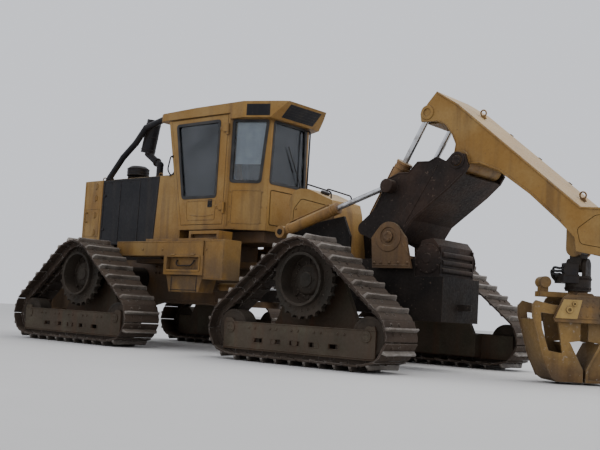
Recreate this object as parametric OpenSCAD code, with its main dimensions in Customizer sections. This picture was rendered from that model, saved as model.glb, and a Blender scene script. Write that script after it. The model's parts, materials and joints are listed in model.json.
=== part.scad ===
// Articulated grapple skidder on four triangular track units, engine end towards +X.
// Millimetres. Z = 0 is the ground under the track lugs, Y = 0 the middle of the machine,
// and X = 0 the middle of its whole length.

/* [Layout] */
// Middle of the wheelbase ahead of the middle of the whole length
mid_x = 692.5; // [650:0.5:750]
// Distance between the front and the rear axle
wheelbase = 3980; // [3900:10:4200]
// Steering hinge ahead of the middle of the wheelbase
hinge_dx = -150; // [-220:5:-80]
// Height of the axles above the ground
axle_z = 926; // [920:1:940]
// Outer faces of the track shoes, from the middle of the machine
track_out_y = 1667; // [1640:1:1760]

/* [Track units] */
// Width of a track shoe
shoe_w = 567; // [520:1:600]
// Length of one track link
link_pitch = 203; // [190:1:230]
// Reach of the lug tips from the sprocket's centre
top_r = 514; // [500:1:525]
// Reach of the lug tips from an idler's centre
end_r = 360; // [350:1:370]
// Idler centre ahead of or behind the axle
idler_dx = 947; // [920:1:970]
// Height of a shoe's lug
lug_h = 55; // [40:1:60]
// Thickness of a lug at its tip
lug_tip = 18; // [12:1:26]
// Thickness of a lug at its root
lug_root = 46; // [34:1:60]
// Thickness of a shoe plate
plate_t = 22; // [16:1:26]
// Height of the chain's rails under the shoes
rail_h = 75; // [60:1:80]
// Thickness of a chain rail
rail_t = 48; // [40:1:50]
// Gap between the two chain rails
rail_gap = 84; // [80:1:100]
// Chain's middle outboard of the shoes' middle
chain_dy = 86; // [70:1:95]
// Sprocket teeth
sprocket_teeth = 25; // [21:1:29]
// Sprocket radius at the tooth roots
sprocket_r = 400; // [380:1:405]
// Height of a sprocket tooth
tooth_h = 32; // [20:1:36]
// Thickness of the sprocket's rim
rim_t = 62; // [50:1:70]
// Radius of the sprocket's deep dish
dish_r = 292; // [270:1:310]
// Wall of the dish
dish_t = 26; // [16:1:40]
// Depth of the dish behind its lip
dish_d = 205; // [150:1:215]
// Radius of a bottom roller
roller_r = 88; // [70:1:95]
// Bottom rollers in a track unit
rollers = 5; // [3:1:5]
// Length of the side guard of a roller frame
guard_l = 2114; // [2000:2:2130]
// Height of the side guard's lower edge
guard_z = 122; // [110:1:140]
// Height of the side guard
guard_h = 300; // [260:1:320]
// Thickness of the side guard
guard_t = 25; // [16:1:30]
// Radius of the final drive's hub
hub_r = 235; // [200:1:240]
// Radius of the axle housing
housing_r = 160; // [140:1:180]

/* [Front frame] */
// Half the width of both chassis frames
frame_y = 400; // [380:1:420]
// Underside of the front chassis frame
frame_z = 600; // [580:1:640]
// Top of the front chassis frame
frame_top = 1200; // [1180:1:1215]
// Front end of the chassis frame ahead of mid wheelbase
frame_front = 3110; // [3060:1:3150]
// Radius of the steering hinge's pin
hinge_pin_r = 60; // [50:1:70]
// Radius of the steering hinge's eyes
hinge_eye_r = 165; // [140:1:180]
// Thickness of the steering hinge's yoke plates
yoke_t = 80; // [60:1:85]

/* [Engine end] */
// Half the width of the hood
hood_y = 600; // [560:1:620]
// Front of the radiator panel ahead of mid wheelbase
nose_x = 3240; // [3200:1:3280]
// Length of the radiator panel
nose_l = 440; // [400:1:480]
// Underside of the radiator panel
nose_z = 1240; // [1220:1:1280]
// Height of the hood's side edge
hood_z = 2385; // [2370:1:2420]
// Rise of the hood from its side edge to its flat top
hood_rise = 32; // [20:1:60]
// Front edge of the cab's cowl, at the hood's side
cowl_x = 1520; // [1480:1:1560]
// Thickness of the body panels
panel_t = 30; // [20:1:40]
// Radius of the air pre-cleaner
cleaner_r = 165; // [140:1:190]
// Radius of a limb riser tube
riser_r = 45; // [35:1:55]
// Radius of the muffler
muffler_r = 105; // [90:1:110]

/* [Cab] */
// Half the width of the cab
cab_y = 640; // [620:1:650]
// Underside of the cab
cab_z = 1600; // [1590:1:1640]
// Top of the cab's walls
cab_top = 3150; // [3120:1:3180]
// Foot of the windscreen wall ahead of mid wheelbase
cab_front = 1010; // [990:1:1030]
// Forward lean of the windscreen wall over the cab's height
cab_lean = 345; // [320:1:360]
// Rear wall behind mid wheelbase
cab_rear = 370; // [350:1:390]
// Half the width of the rear wall
cab_rear_y = 385; // [360:1:410]
// Start of the slanted rear corners ahead of mid wheelbase
corner_x = 150; // [130:1:160]
// Thickness of the cab's walls
wall_t = 50; // [40:1:60]
// Thickness of the window glass
glass_t = 8; // [6:1:12]
// Thickness of the roof
roof_t = 135; // [120:1:150]
// Height of the window sills of the rear windows
sill_z = 2230; // [2190:1:2260]
// Height of the roof skirt behind the doors
skirt_h = 82; // [75:1:100]
// Lower edge of the door
door_z = 1665; // [1655:1:1680]
// Rear edge of the door ahead of mid wheelbase
door_rear = 178; // [170:1:190]
// Length of the door at its lower edge
door_l = 800; // [760:1:810]
// Clearance round the door
door_gap = 6; // [5:1:10]
// Width of the door's stile at its hinges
door_stile = 150; // [120:1:170]
// Height of the door glass's lower edge
glass_z = 2035; // [2000:1:2080]

/* [Side boxes] */
// Outer faces of the side boxes from the middle of the machine
box_y = 1000; // [980:1:1010]
// Inner faces of the side boxes
box_in_y = 690; // [670:1:710]
// Front end of the side ledge ahead of mid wheelbase
ledge_x = 1860; // [1820:1:1900]
// Underside of the side ledge
ledge_z = 1220; // [1210:1:1240]
// Height of the side ledge
ledge_h = 190; // [160:1:200]

/* [Blade] */
// Half the width of the dozer blade
blade_y = 1080; // [1000:1:1090]
// From the front frame's end to the back of the blade
blade_gap = 330; // [320:1:370]
// Lower edge of the blade as parked
blade_z = 330; // [300:1:380]
// Height of the blade
blade_h = 600; // [560:1:620]
// Blade arms' pivot ahead of mid wheelbase
arm_pivot_x = 2450; // [2420:1:2500]
// Height of the blade arms' pivot
arm_pivot_z = 720; // [700:1:740]

/* [Rear frame] */
// Front end of the rear chassis box behind mid wheelbase
rear_box = 950; // [930:1:970]
// Rear end of the rear chassis frame behind mid wheelbase
rear_end = 3070; // [3040:1:3120]
// Top of the rear chassis frame
rear_top = 1240; // [1225:1:1260]
// Half the width of the rear deck
deck_y = 300; // [280:1:305]
// Highest point of the rear deck
deck_top = 2140; // [2100:1:2160]
// Tower plates' inner faces from the middle of the machine
tower_y = 436; // [434:1:440]
// Thickness of a tower plate
tower_t = 40; // [30:1:50]
// Arch pivot behind mid wheelbase
arch_pivot_x = 2370; // [2350:1:2390]
// Height of the arch pivot
arch_pivot_z = 1490; // [1480:1:1500]

/* [Arch and boom] */
// Inner faces of the arch's side plates
arch_y = 395; // [394:1:398]
// Thickness of an arch side plate
arch_t = 35; // [30:1:36]
// Boom pivot behind mid wheelbase
boom_pivot_x = 3200; // [3190:1:3210]
// Height of the boom pivot
boom_pivot_z = 2330; // [2325:1:2340]
// Half the width of the boom
boom_y = 355; // [345:1:358]
// Wall of the boom's cylinder pocket
boom_t = 26; // [20:1:30]
// Boom cylinders from the middle of the machine
boom_cyl_y = 275; // [265:1:280]
// Arch cylinders from the middle of the machine
arch_cyl_y = 505; // [500:1:508]

/* [Grapple] */
// Grapple's hang pin behind mid wheelbase
hang_x = 4440; // [4430:1:4450]
// Height of the hang pin
hang_z = 1380; // [1375:1:1390]
// Turn of the parked grapple about its rotator
grapple_yaw = -45; // [-60:1:0]
// Radius of the rotator
rotator_r = 130; // [110:1:135]
// Tong pivots from the grapple's middle
tong_b = 170; // [165:1:180]
// Height of the tong pivots as parked
tong_z = 740; // [735:1:745]

/* [Hidden] */
$fn = 48;

fit = 0.3;       // flat or round seats inside one body
run_fit = 0.05;  // pins in their eyes
play = 6;        // between pieces that move past each other

hinge_x = hinge_dx;
front_axle_x = wheelbase / 2;
rear_axle_x = -wheelbase / 2;
track_y = track_out_y - shoe_w / 2;
chain_y = track_y + chain_dy;
cab_h = cab_top - cab_z;

// Helpers
// Puts a piece from mid wheelbase coordinates into the part's own frame
module place() translate([mid_x, 0, 0]) children();

// A piece and its mirror image on the other side of the machine
module both() {
    children();
    mirror([0, 1, 0]) children();
}

// A flat shape drawn in X and Z, from y0 to y0 + w
module side(y0, w) translate([0, y0 + w, 0]) rotate([90, 0, 0]) linear_extrude(w) children();

// A round bar along Y, from y0 to y0 + w
module bar_y(x, z, r, y0, w) translate([x, y0 + w, z]) rotate([90, 0, 0]) cylinder(r = r, h = w);

// A box from one corner to the other
module block(a, b) translate(a) cube(b - a);

// A round bar from p to q
module rod_between(p, q, r) {
    d = q - p;
    translate(p) rotate([0, atan2(norm([d.x, d.y]), d.z), atan2(d.y, d.x)]) cylinder(r = r, h = norm(d));
}

// A polygon's points, each pulled along a direction
function shift_points(points, by) = [for (p = points) p + by];

// Linkages. Each is a row: foot pin, rod eye as parked, both as [x, z] from mid wheelbase
arch_link = [[-780, 1560], [-2360, 2070]];
boom_link = [[-1980, 1600], [-2720, 2915]];
blade_x = frame_front + blade_gap;
blade_link = [[2620, 1120], [blade_x - 110, blade_z + 320]];
steer_link = [[360, 500], [-860, 500]];
steer_z = 850;

// Sizes of the cylinders: barrel radius, rod radius, barrel length, rod length, eye radius,
// eye width, pin radius
arch_cyl = [66, 32, 900, 1150, 78, 120, 35];
boom_cyl = [90, 34, 890, 850, 82, 90, 36];
blade_cyl = [58, 28, 500, 540, 62, 90, 28];
steer_cyl = [52, 26, 800, 785, 58, 80, 26];
neck = 100;         // from a foot pin to the thick part of the barrel
bore_start = 140;   // solid foot end of a barrel, before its bore

// A cylinder's barrel from its foot pin at the origin towards +X, pin along Y
module barrel(c) difference() {
    union() {
        bar_y(0, 0, c[4], -c[5] / 2, c[5]);
        rotate([0, 90, 0]) cylinder(r = c[5] * 0.45, h = neck);
        translate([neck - 1, 0, 0]) rotate([0, 90, 0]) cylinder(r = c[0], h = c[2] - neck + 1);
    }
    bar_y(0, 0, c[6] + run_fit, -c[5], 2 * c[5]);
    translate([bore_start, 0, 0]) rotate([0, 90, 0]) cylinder(r = c[1] + fit, h = c[2]);
}

// A cylinder's rod with its eye at the origin and the rod towards -X
module piston_rod(c) union() {
    bar_y(0, 0, c[4], -c[5] / 2, c[5]);
    translate([-c[3], 0, 0]) rotate([0, 90, 0]) cylinder(r = c[1], h = c[3]);
}

// Lays a piece drawn along +X onto a linkage in the X-Z plane, at its foot or at its eye
module on_link(link, y, at_eye) {
    d = link[1] - link[0];
    p = link[at_eye ? 1 : 0];
    translate([p.x, y, p.y]) rotate([0, -atan2(d.y, d.x), 0]) children();
}

// Lays a piece onto a steering cylinder's line, which lies level
module on_steer(s, at_eye) {
    d = steer_link[1] - steer_link[0];
    p = steer_link[at_eye ? 1 : 0];
    translate([p.x, s * p.y, steer_z]) rotate([0, 0, atan2(s * d.y, d.x)]) rotate([90, 0, 0]) children();
}

// Track loop. Its line runs over the sprocket and round two idlers that stand level on the ground
loop_dz = axle_z - end_r;
loop_d = norm([idler_dx, loop_dz]);
tip_top_r = top_r;
// Direction of the front slope's outward normal
slope_a = acos((tip_top_r - end_r) / loop_d) - atan2(loop_dz, idler_dx);
// Radii at the middle of the chain's height, where the links' length is measured
line_in = lug_h + plate_t + rail_h / 2;
r_top = tip_top_r - line_in;
r_end = end_r - line_in;
top_arc = r_top * (90 - slope_a) * PI / 180;
slope_l = sqrt(loop_d * loop_d - pow(tip_top_r - end_r, 2));
end_arc = r_end * (90 + slope_a) * PI / 180;
half_loop = top_arc + slope_l + end_arc + idler_dx;
shoes = round(2 * half_loop / link_pitch);
pitch = 2 * half_loop / shoes;

// Point of the loop's front half at run s from the top, out by t from the chain's middle
function front_pt(s, t) =
    s < top_arc ? ring_pt([0, axle_z], r_top + t, 90 - s / r_top * 180 / PI) :
    s < top_arc + slope_l ? ring_pt([0, axle_z], r_top + t, slope_a)
        + (s - top_arc) * [sin(slope_a), -cos(slope_a)] :
    s < half_loop - idler_dx
        ? ring_pt([idler_dx, end_r], r_end + t, slope_a - (s - top_arc - slope_l) / r_end * 180 / PI) :
    [half_loop - s, end_r - r_end - t];
function ring_pt(c, r, a) = c + r * [cos(a), sin(a)];
// The same all the way round, s from 0 to 2 * half_loop
function loop_pt(s, t) = let (u = (s + 4 * half_loop) % (2 * half_loop))
    u <= half_loop ? front_pt(u, t) : let (p = front_pt(2 * half_loop - u, t)) [-p.x, p.y];

out_plate = rail_h / 2 + plate_t;
out_tip = out_plate + lug_h;

// Outline of the shoes with one lug each; inside it the plates' inner faces
module shoe_ring() difference() {
    polygon([for (i = [0:shoes - 1]) let (s = (i + 0.5) * pitch)
        each [loop_pt(s - lug_root / 2, out_plate), loop_pt(s - lug_tip / 2, out_tip),
            loop_pt(s + lug_tip / 2, out_tip), loop_pt(s + lug_root / 2, out_plate)]]);
    polygon([for (i = [0:2 * shoes - 1]) loop_pt(i * pitch / 2, rail_h / 2)]);
}

// Outline of the chain's rails, whose outer faces carry the shoes
module rail_ring() difference() {
    polygon([for (i = [0:2 * shoes - 1]) loop_pt(i * pitch / 2, rail_h / 2)]);
    loop_inside(-rail_h / 2);
}

// Smooth inner line of the chain: the hull of a sprocket disc and two idler discs, as one polygon
module loop_inside(t) {
    arc_n = 12;
    pts = concat(
        [for (i = [0:arc_n]) ring_pt([0, axle_z], r_top + t, 180 - slope_a - (180 - 2 * slope_a) * i / arc_n)],
        [for (i = [0:arc_n]) ring_pt([idler_dx, end_r], r_end + t, slope_a - (90 + slope_a) * i / arc_n)],
        [for (i = [0:arc_n]) ring_pt([-idler_dx, end_r], r_end + t, -90 - (90 + slope_a) * i / arc_n)]);
    polygon(pts);
}

module track_loop(axle_x) translate([axle_x, 0, 0]) union() {
    side(track_y - shoe_w / 2, shoe_w) shoe_ring();
    for (s = [-1, 1]) side(chain_y + s * (rail_gap + rail_t) / 2 - rail_t / 2, rail_t) rail_ring();
}

idler_r = r_end - rail_h / 2 - 1.5;
roller_z = end_r - r_end + rail_h / 2 + roller_r + 1.5;
roller_span = 2 * idler_dx - 2 * idler_r - 2 * roller_r - 60;
wheel_w = rail_gap + 2 * rail_t;
wheel_pin_r = 40;
inner_guard_y = chain_y - wheel_w / 2 - play - guard_t;
outer_guard_y = chain_y + wheel_w / 2 + play;

// Idlers and bottom rollers on their pins
module roller_set(axle_x) translate([axle_x, 0, 0]) {
    for (s = [-1, 1]) roller_wheel(s * idler_dx, end_r, idler_r);
    for (i = [0:rollers - 1])
        roller_wheel(roller_span * (i / (rollers - 1) - 0.5), roller_z, roller_r);
}
module roller_wheel(x, z, r) difference() {
    bar_y(x, z, r, chain_y - wheel_w / 2, wheel_w);
    bar_y(x, z, wheel_pin_r + fit, chain_y - wheel_w, 2 * wheel_w);
}

slot_w = 130;
slot_h = 46;
slot_z = guard_z + 90;
slot_step = 266;
slots = 5;
post_y = inner_guard_y - 170;
post_t = 60;

// Side guards, the wheels' pins, and the post that carries the frame on the final drive
module roller_frame(axle_x) translate([axle_x, 0, 0]) {
    difference() {
        side(outer_guard_y, guard_t) guard_outline();
        for (i = [0:slots - 1])
            block([slot_step * (i - (slots - 1) / 2) - slot_w / 2, outer_guard_y - 1, slot_z],
                [slot_step * (i - (slots - 1) / 2) + slot_w / 2, outer_guard_y + guard_t + 1, slot_z + slot_h]);
    }
    difference() {
        union() {
            side(inner_guard_y, guard_t) guard_outline();
            block([-620, post_y, guard_z + 20], [620, inner_guard_y, guard_z + guard_h]);
            side(post_y, post_t) polygon([[-600, guard_z + guard_h], [600, guard_z + guard_h],
                [330, axle_z + 60], [190, axle_z + 330], [-190, axle_z + 330], [-330, axle_z + 60]]);
        }
        bar_y(0, axle_z, hub_r + fit, 0, track_out_y);
    }
    for (s = [-1, 1]) wheel_pin(s * idler_dx, end_r);
    for (i = [0:rollers - 1]) wheel_pin(roller_span * (i / (rollers - 1) - 0.5), roller_z);
}
module wheel_pin(x, z) bar_y(x, z, wheel_pin_r, inner_guard_y, outer_guard_y + guard_t - inner_guard_y);
module guard_outline() translate([-guard_l / 2, guard_z]) square([guard_l, guard_h]);

rim_y = chain_y - rim_t / 2;
lip_y = chain_y + wheel_w / 2;
dish_floor_y = lip_y - dish_d;

// Toothed rim round a deep dish that bolts onto the hub
module sprocket(axle_x) translate([axle_x, 0, axle_z]) difference() {
    union() {
        side(rim_y, rim_t) union() {
            circle(r = sprocket_r, $fn = 72);
            for (i = [0:sprocket_teeth - 1]) rotate(i * 360 / sprocket_teeth)
                translate([sprocket_r - 12, 0]) polygon([[0, -24], [tooth_h + 12, -9], [tooth_h + 12, 9], [0, 24]]);
        }
        bar_y(0, 0, dish_r, dish_floor_y, dish_d);
    }
    bar_y(0, 0, dish_r - dish_t, dish_floor_y + dish_t, dish_d);
}

diff_r = 270;
// Axle housing with the differential's bulge in the middle and the final drives at its ends
module axle(axle_x) translate([axle_x, 0, axle_z]) union() {
    bar_y(0, 0, housing_r, -hub_in_y, 2 * hub_in_y);
    sphere(r = diff_r);
    for (s = [-1, 1]) bar_y(0, 0, hub_r, s > 0 ? hub_in_y : -dish_floor_y, dish_floor_y - hub_in_y);
}
hub_in_y = 1020;

// What an axle needs cut out of its chassis frame
module axle_room(axle_x) {
    bar_y(axle_x, axle_z, housing_r + fit, -2 * frame_y, 4 * frame_y);
    block([axle_x - diff_r - 20, -diff_r - 20, 0], [axle_x + diff_r + 20, diff_r + 20, axle_z + diff_r + 20]);
}

// Front frame
yoke_top = frame_top;
yoke_low = frame_z;
box_back = 450;    // rear end of the front chassis box ahead of mid wheelbase
module front_frame() color("#b8862f") place() {
    difference() {
        block([box_back, -frame_y, frame_z], [frame_front, frame_y, frame_top]);
        axle_room(front_axle_x);
    }
    // seats of the cab, the cowl and the radiator panel
    block([box_back, -380, frame_top - 1], [cab_front + 19, 380, cab_z - 1 - fit]);
    block([-300, -330, cab_z - 151], [box_back + 1, 330, cab_z - 1 - fit]);
    block([cab_front + 18, -380, frame_top - 1], [cowl_x + 59, 380, ledge_z + ledge_h]);
    block([nose_x - nose_l, -380, frame_top - 1], [frame_front - 10, 380, nose_z - fit]);
    for (z = [yoke_low, yoke_top - yoke_t]) translate([0, 0, z]) linear_extrude(yoke_t) yoke_outline();
    translate([hinge_x, 0, yoke_low]) cylinder(r = hinge_pin_r, h = yoke_top - yoke_low);
    for (s = [-1, 1]) steer_lug(s, steer_link[0].x, box_back);
    both() {
        blade_bracket();
        block([box_back + 60, frame_y, 1140], [1800, box_in_y, 1200]);
    }
    tow_eye(frame_front, 1);
}
tow_t = 70;
tow_r = 30;
tow_z = 720;
// Towing eye for an upright pin on the end of a frame, d = 1 towards the front
module tow_eye(x, d) translate([0, 0, tow_z - tow_t / 2]) linear_extrude(tow_t) difference() {
    union() {
        translate([x + d * 70, 0]) circle(r = 65);
        translate([d > 0 ? x : x - 70, -65]) square([70, 130]);
    }
    translate([x + d * 70, 0]) circle(r = tow_r);
}
module yoke_outline() difference() {
    union() {
        translate([hinge_x, 0]) circle(r = hinge_eye_r);
        polygon([[hinge_x, -hinge_eye_r], [box_back, -hinge_eye_r - 60], [box_back, hinge_eye_r + 60],
            [hinge_x, hinge_eye_r]]);
    }
}

// Two ears and a pin that hold a steering cylinder's eye
lug_t = 30;
module steer_lug(s, x, wall_x) {
    w = steer_cyl[5];
    for (z = [steer_z - w / 2 - fit - lug_t, steer_z + w / 2 + fit]) translate([0, 0, z]) linear_extrude(lug_t) {
        translate([x, s * steer_link[0].y]) circle(r = steer_cyl[4]);
        d = wall_x > x ? 1 : -1;
        translate([d > 0 ? x : wall_x, s * steer_link[0].y - steer_cyl[4]])
            square([abs(wall_x - x), 2 * steer_cyl[4]]);
    }
    translate([x, s * steer_link[0].y, steer_z - w / 2 - lug_t / 2]) cylinder(r = steer_cyl[6], h = w + lug_t);
    d = wall_x > x ? 1 : -1;
    translate([d > 0 ? wall_x : wall_x - 60, s > 0 ? frame_y - 20 : -frame_y - 120, steer_z - w / 2 - lug_t - fit])
        cube([60, 140, w + 2 * lug_t + 2 * fit]);
}

arm_y = 640;
arm_t = 60;
// Blade arm pin and the blade cylinders' foot pins, standing out from the frame's side
module blade_bracket() {
    block([arm_pivot_x - 110, frame_y, arm_pivot_z - 110], [arm_pivot_x + 110, arm_y - play, arm_pivot_z + 110]);
    bar_y(arm_pivot_x, arm_pivot_z, 45, frame_y, arm_y + arm_t - frame_y);
    foot = blade_link[0];
    bar_y(foot.x, foot.y, blade_cyl[4], frame_y, blade_cyl_y - blade_cyl[5] / 2 - fit - frame_y);
    bar_y(foot.x, foot.y, blade_cyl[6], frame_y, blade_cyl_y + blade_cyl[5] / 2 + 12 - frame_y);
}
blade_cyl_y = 500;

module front_axle() color("#4a4236") place() axle(front_axle_x);
module rear_axle() color("#4a4236") place() axle(rear_axle_x);

// Engine as one plain block between the hood's walls
module engine_block() color("#5d5a52") place()
    block([cowl_x + 120, -360, frame_top], [nose_x - nose_l - 60, 360, 2150]);

// Radiator panel with a recess for the grille in its front
shell_t = 60;
module radiator_panel() color("#d9a43a") place() difference() {
    block([nose_x - nose_l, -hood_y, nose_z], [nose_x, hood_y, hood_z]);
    block([nose_x - 130, -hood_y + shell_t, nose_z + shell_t],
        [nose_x + 1, hood_y - shell_t, hood_z - shell_t]);
}
bars = 9;
module radiator_grille() color("#2b2b2b") place() {
    w = hood_y - shell_t;
    block([nose_x - 130, -w, nose_z + shell_t], [nose_x - 100, w, hood_z - shell_t]);
    for (i = [0:bars - 1]) {
        z = nose_z + shell_t + (hood_z - nose_z - 2 * shell_t) * (i + 0.5) / bars;
        block([nose_x - 100, -w, z - 12], [nose_x - 40, w, z + 12]);
    }
}

// Hood: flat top with sloping edges, from the radiator panel to the cab's cowl
hood_back = cowl_x - 20;
module hood() color("#d9a43a") place() difference() {
    translate([hood_back, 0, 0]) rotate([90, 0, 90]) linear_extrude(nose_x - hood_back)
        polygon([[-hood_y, hood_z], [hood_y, hood_z], [hood_y - 130, hood_z + hood_rise],
            [-hood_y + 130, hood_z + hood_rise]]);
}

// Side panels of the engine bay, with their lower frame down to the ledge
module engine_side_panels() color("#23252b") place() both()
    side(hood_y - panel_t - 4, panel_t) polygon([[cowl_x + 60, ledge_z + ledge_h + fit],
        [nose_x - nose_l - 1, ledge_z + ledge_h + fit], [nose_x - nose_l - 1, hood_z], [cowl_x, hood_z]]);

// Cowl between engine bay and cab
module cab_cowl() color("#d9a43a") place() side(-hood_y, 2 * hood_y) polygon([
    [cowl_x - 1, hood_z], [cowl_x + 59, ledge_z + ledge_h + fit], [cab_front + 20, ledge_z + ledge_h + fit],
    [cab_front + 20, cab_z - 1], [cab_front + 2, cab_z - 1], [cab_front + 2 + cab_lean * (hood_z - cab_z) / cab_h, hood_z]]);

module pre_cleaner() color("#1d1d1f") place() translate([2400, 280, hood_z + hood_rise]) union() {
    cylinder(r = cleaner_r * 0.55, h = 60);
    translate([0, 0, 60]) cylinder(r = cleaner_r, h = 110);
    translate([0, 0, 170]) cylinder(r1 = cleaner_r, r2 = cleaner_r * 0.7, h = 35, $fn = 48);
}

// Exhaust: a pipe from the cowl that bends forward, and the muffler standing on its end
exhaust_y = 400;
module exhaust() color("#1a1a1c") place() union() {
    low = [1770, exhaust_y, 2590];
    bend = [2070, exhaust_y, 2785];
    rod_between([low.x, exhaust_y, hood_z + hood_rise + fit], low, 50);
    rod_between(low, bend, 50);
    translate(low) sphere(r = 54);
    rod_between(bend, [1965, exhaust_y, 3270], muffler_r);
}

// Limb risers from the hood's front corners to the roof's front corners
riser_y = 560;
module limb_risers() color("#1a1a1c") place() both() {
    pts = [[2740, riser_y - 15, hood_z + 40], [2431, riser_y, 2720], [2161, riser_y, 2915],
        [1951, riser_y, 3130], [roof_front + 2, riser_y, 3215]];
    for (i = [0:len(pts) - 2]) rod_between(pts[i], pts[i + 1], riser_r);
    for (i = [1:len(pts) - 2]) translate(pts[i]) sphere(r = riser_r + 2);
    translate([2740, riser_y - 25, hood_z + 12]) cylinder(r = 62, h = 31);
}

// Cab
roof_front = 1565;
roof_y = 660;
roof_corner_x = -100;
roof_rear = 660;
roof_rear_y = 400;

// Plan of the cab's walls, pulled in by t
module cab_plan(t) polygon([[cab_front + cab_lean + 100, cab_y - t], [cab_front + cab_lean + 100, -cab_y + t],
    [corner_x + t * 0.2, -cab_y + t], [-cab_rear + t, -cab_rear_y + t * 0.6],
    [-cab_rear + t, cab_rear_y - t * 0.6], [corner_x + t * 0.2, cab_y - t]]);

// Side view of the cab's walls, pulled in by t at the front
module cab_profile(t) polygon([[-2000, cab_z - 1], [cab_front - t, cab_z - 1],
    [cab_front + cab_lean - t, cab_top + 1], [-2000, cab_top + 1]]);

module cab_block(t, z0, z1) intersection() {
    translate([0, 0, z0]) linear_extrude(z1 - z0) cab_plan(t);
    side(-1000, 2000) cab_profile(t);
}

floor_t = 60;
module cab_floor() color("#3a3a38") place() cab_block(wall_t + fit, cab_z, cab_z + floor_t);

// Window openings: name, then corners in X and Z for the side walls
door_lean = cab_lean / cab_h;
function front_x(z) = cab_front + cab_lean * (z - cab_z) / cab_h;
door_top = cab_top - 5;
door_outline = [[door_rear, door_z], [door_rear + door_l, door_z],
    [door_rear + door_l + door_lean * (door_top - door_z), door_top], [door_rear, door_top]];
glass_outline = [[door_rear + door_stile, glass_z], [front_x(glass_z) - 130, glass_z],
    [front_x(3070) - 160, 3070], [door_rear + door_stile, 3070]];

corner_a = atan2(cab_y - cab_rear_y, corner_x + cab_rear);
corner_l = norm([cab_y - cab_rear_y, corner_x + cab_rear]);
win_top = 3060;
// Puts a flat shape (run along the slanted corner from its rear end, height) onto the left corner wall
module on_corner(depth, t) translate([-cab_rear, cab_rear_y, 0]) rotate([0, 0, corner_a])
    translate([0, -depth, 0]) rotate([90, 0, 0]) translate([0, 0, -t]) linear_extrude(t) children();
module corner_shape(o) polygon([[110 - o, sill_z - o], [corner_l - 60 + o, sill_z - o],
    [corner_l - 60 + o, win_top + o], [40 - o, win_top + o]]);
module rear_shape(o) polygon([[-cab_rear_y + 30 - o, sill_z - o], [cab_rear_y - 30 + o, sill_z - o],
    [cab_rear_y - 60 + o, win_top + o], [-cab_rear_y + 60 - o, win_top + o]]);
module front_shape(o) polygon([[-cab_y + 90 - o, 2360 - o], [cab_y - 90 + o, 2360 - o],
    [cab_y - 90 + o, 3060 + o], [-cab_y + 90 - o, 3060 + o]]);

// Whole shell of the cab, from which its three walls are cut
module cab_shell() difference() {
    cab_block(0, cab_z, cab_top);
    cab_block(wall_t, cab_z - 1, cab_top + 1);
}
seam_x = corner_x - 11;
module cab_front_wall() color("#d9a43a") place() difference() {
    cab_shell();
    side(-1000, 2000) cab_profile(wall_t);
    translate([cab_front - 200, 0, 0]) rotate([90, 0, 90]) linear_extrude(900) front_shape(0);
}
module cab_side_walls() color("#d9a43a") place() union() {
    difference() {
        intersection() {
            cab_shell();
            side(-1000, 2000) cab_profile(wall_t);
        }
        block([-2000, -1000, cab_z - 1], [seam_x, 1000, cab_top + 1]);
        side(cab_y - wall_t - 40, wall_t + 80) polygon(door_outline);
        side(-cab_y - 40, wall_t + 80) polygon(glass_outline);
    }
    door_knuckles();
}
module cab_rear_walls() color("#d9a43a") place() difference() {
    cab_shell();
    block([seam_x, -1000, cab_z - 1], [2000, 1000, cab_top + 1]);
    both() on_corner(200, 400) corner_shape(0);
    translate([-cab_rear - 100, 0, 0]) rotate([90, 0, 90]) linear_extrude(300) rear_shape(0);
}

// Fixed glass, each pane set into its opening
module cab_windows() color("#33434a", 0.5) place() {
    inset = 20;
    side(-cab_y + inset, glass_t) polygon(shrink(glass_outline, fit));
    both() on_corner(inset + glass_t, glass_t) corner_shape(-fit);
    translate([-cab_rear + inset, 0, 0]) rotate([90, 0, 90]) linear_extrude(glass_t) rear_shape(-fit);
    intersection() {
        translate([cab_front - 200, 0, 0]) rotate([90, 0, 90]) linear_extrude(900) front_shape(-fit);
        difference() {
            side(-1000, 2000) cab_profile(inset);
            side(-1001, 2002) cab_profile(inset + glass_t);
        }
    }
}
// A convex outline pulled in about its middle by d on each side
function shrink(p, d) = let (c = (p[0] + p[2]) / 2) [for (q = p) [q.x + (q.x < c.x ? d : -d), q.y + (q.y < c.y ? d : -d)]];

// Roof slab with a skirt round the rear windows; its rear edge leans out
module roof_plan() polygon([[roof_front, roof_y - 60], [roof_front - 90, roof_y], [roof_corner_x, roof_y],
    [-roof_rear + 90, roof_rear_y + 40], [-roof_rear, roof_rear_y - 20], [-roof_rear, -roof_rear_y + 20],
    [-roof_rear + 90, -roof_rear_y - 40], [roof_corner_x, -roof_y], [roof_front - 90, -roof_y],
    [roof_front, -roof_y + 60]]);
roof_top = cab_top + roof_t;
module cab_roof() color("#d9a43a") place() difference() {
    intersection() {
        translate([0, 0, cab_top - skirt_h]) linear_extrude(roof_t + skirt_h) roof_plan();
        side(-1000, 2000) polygon([[-roof_rear + roof_lean, cab_top - skirt_h], [corner_x - 20, cab_top - skirt_h],
            [corner_x - 20, cab_top], [roof_front + 1, cab_top + 10], [roof_front + 1, roof_top - 22],
            [800, roof_top], [-roof_rear, roof_top]]);
    }
    translate([0, 0, cab_top - skirt_h - 1]) linear_extrude(skirt_h + 1) cab_plan(0);
    roof_vent_cuts(0);
}

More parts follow.
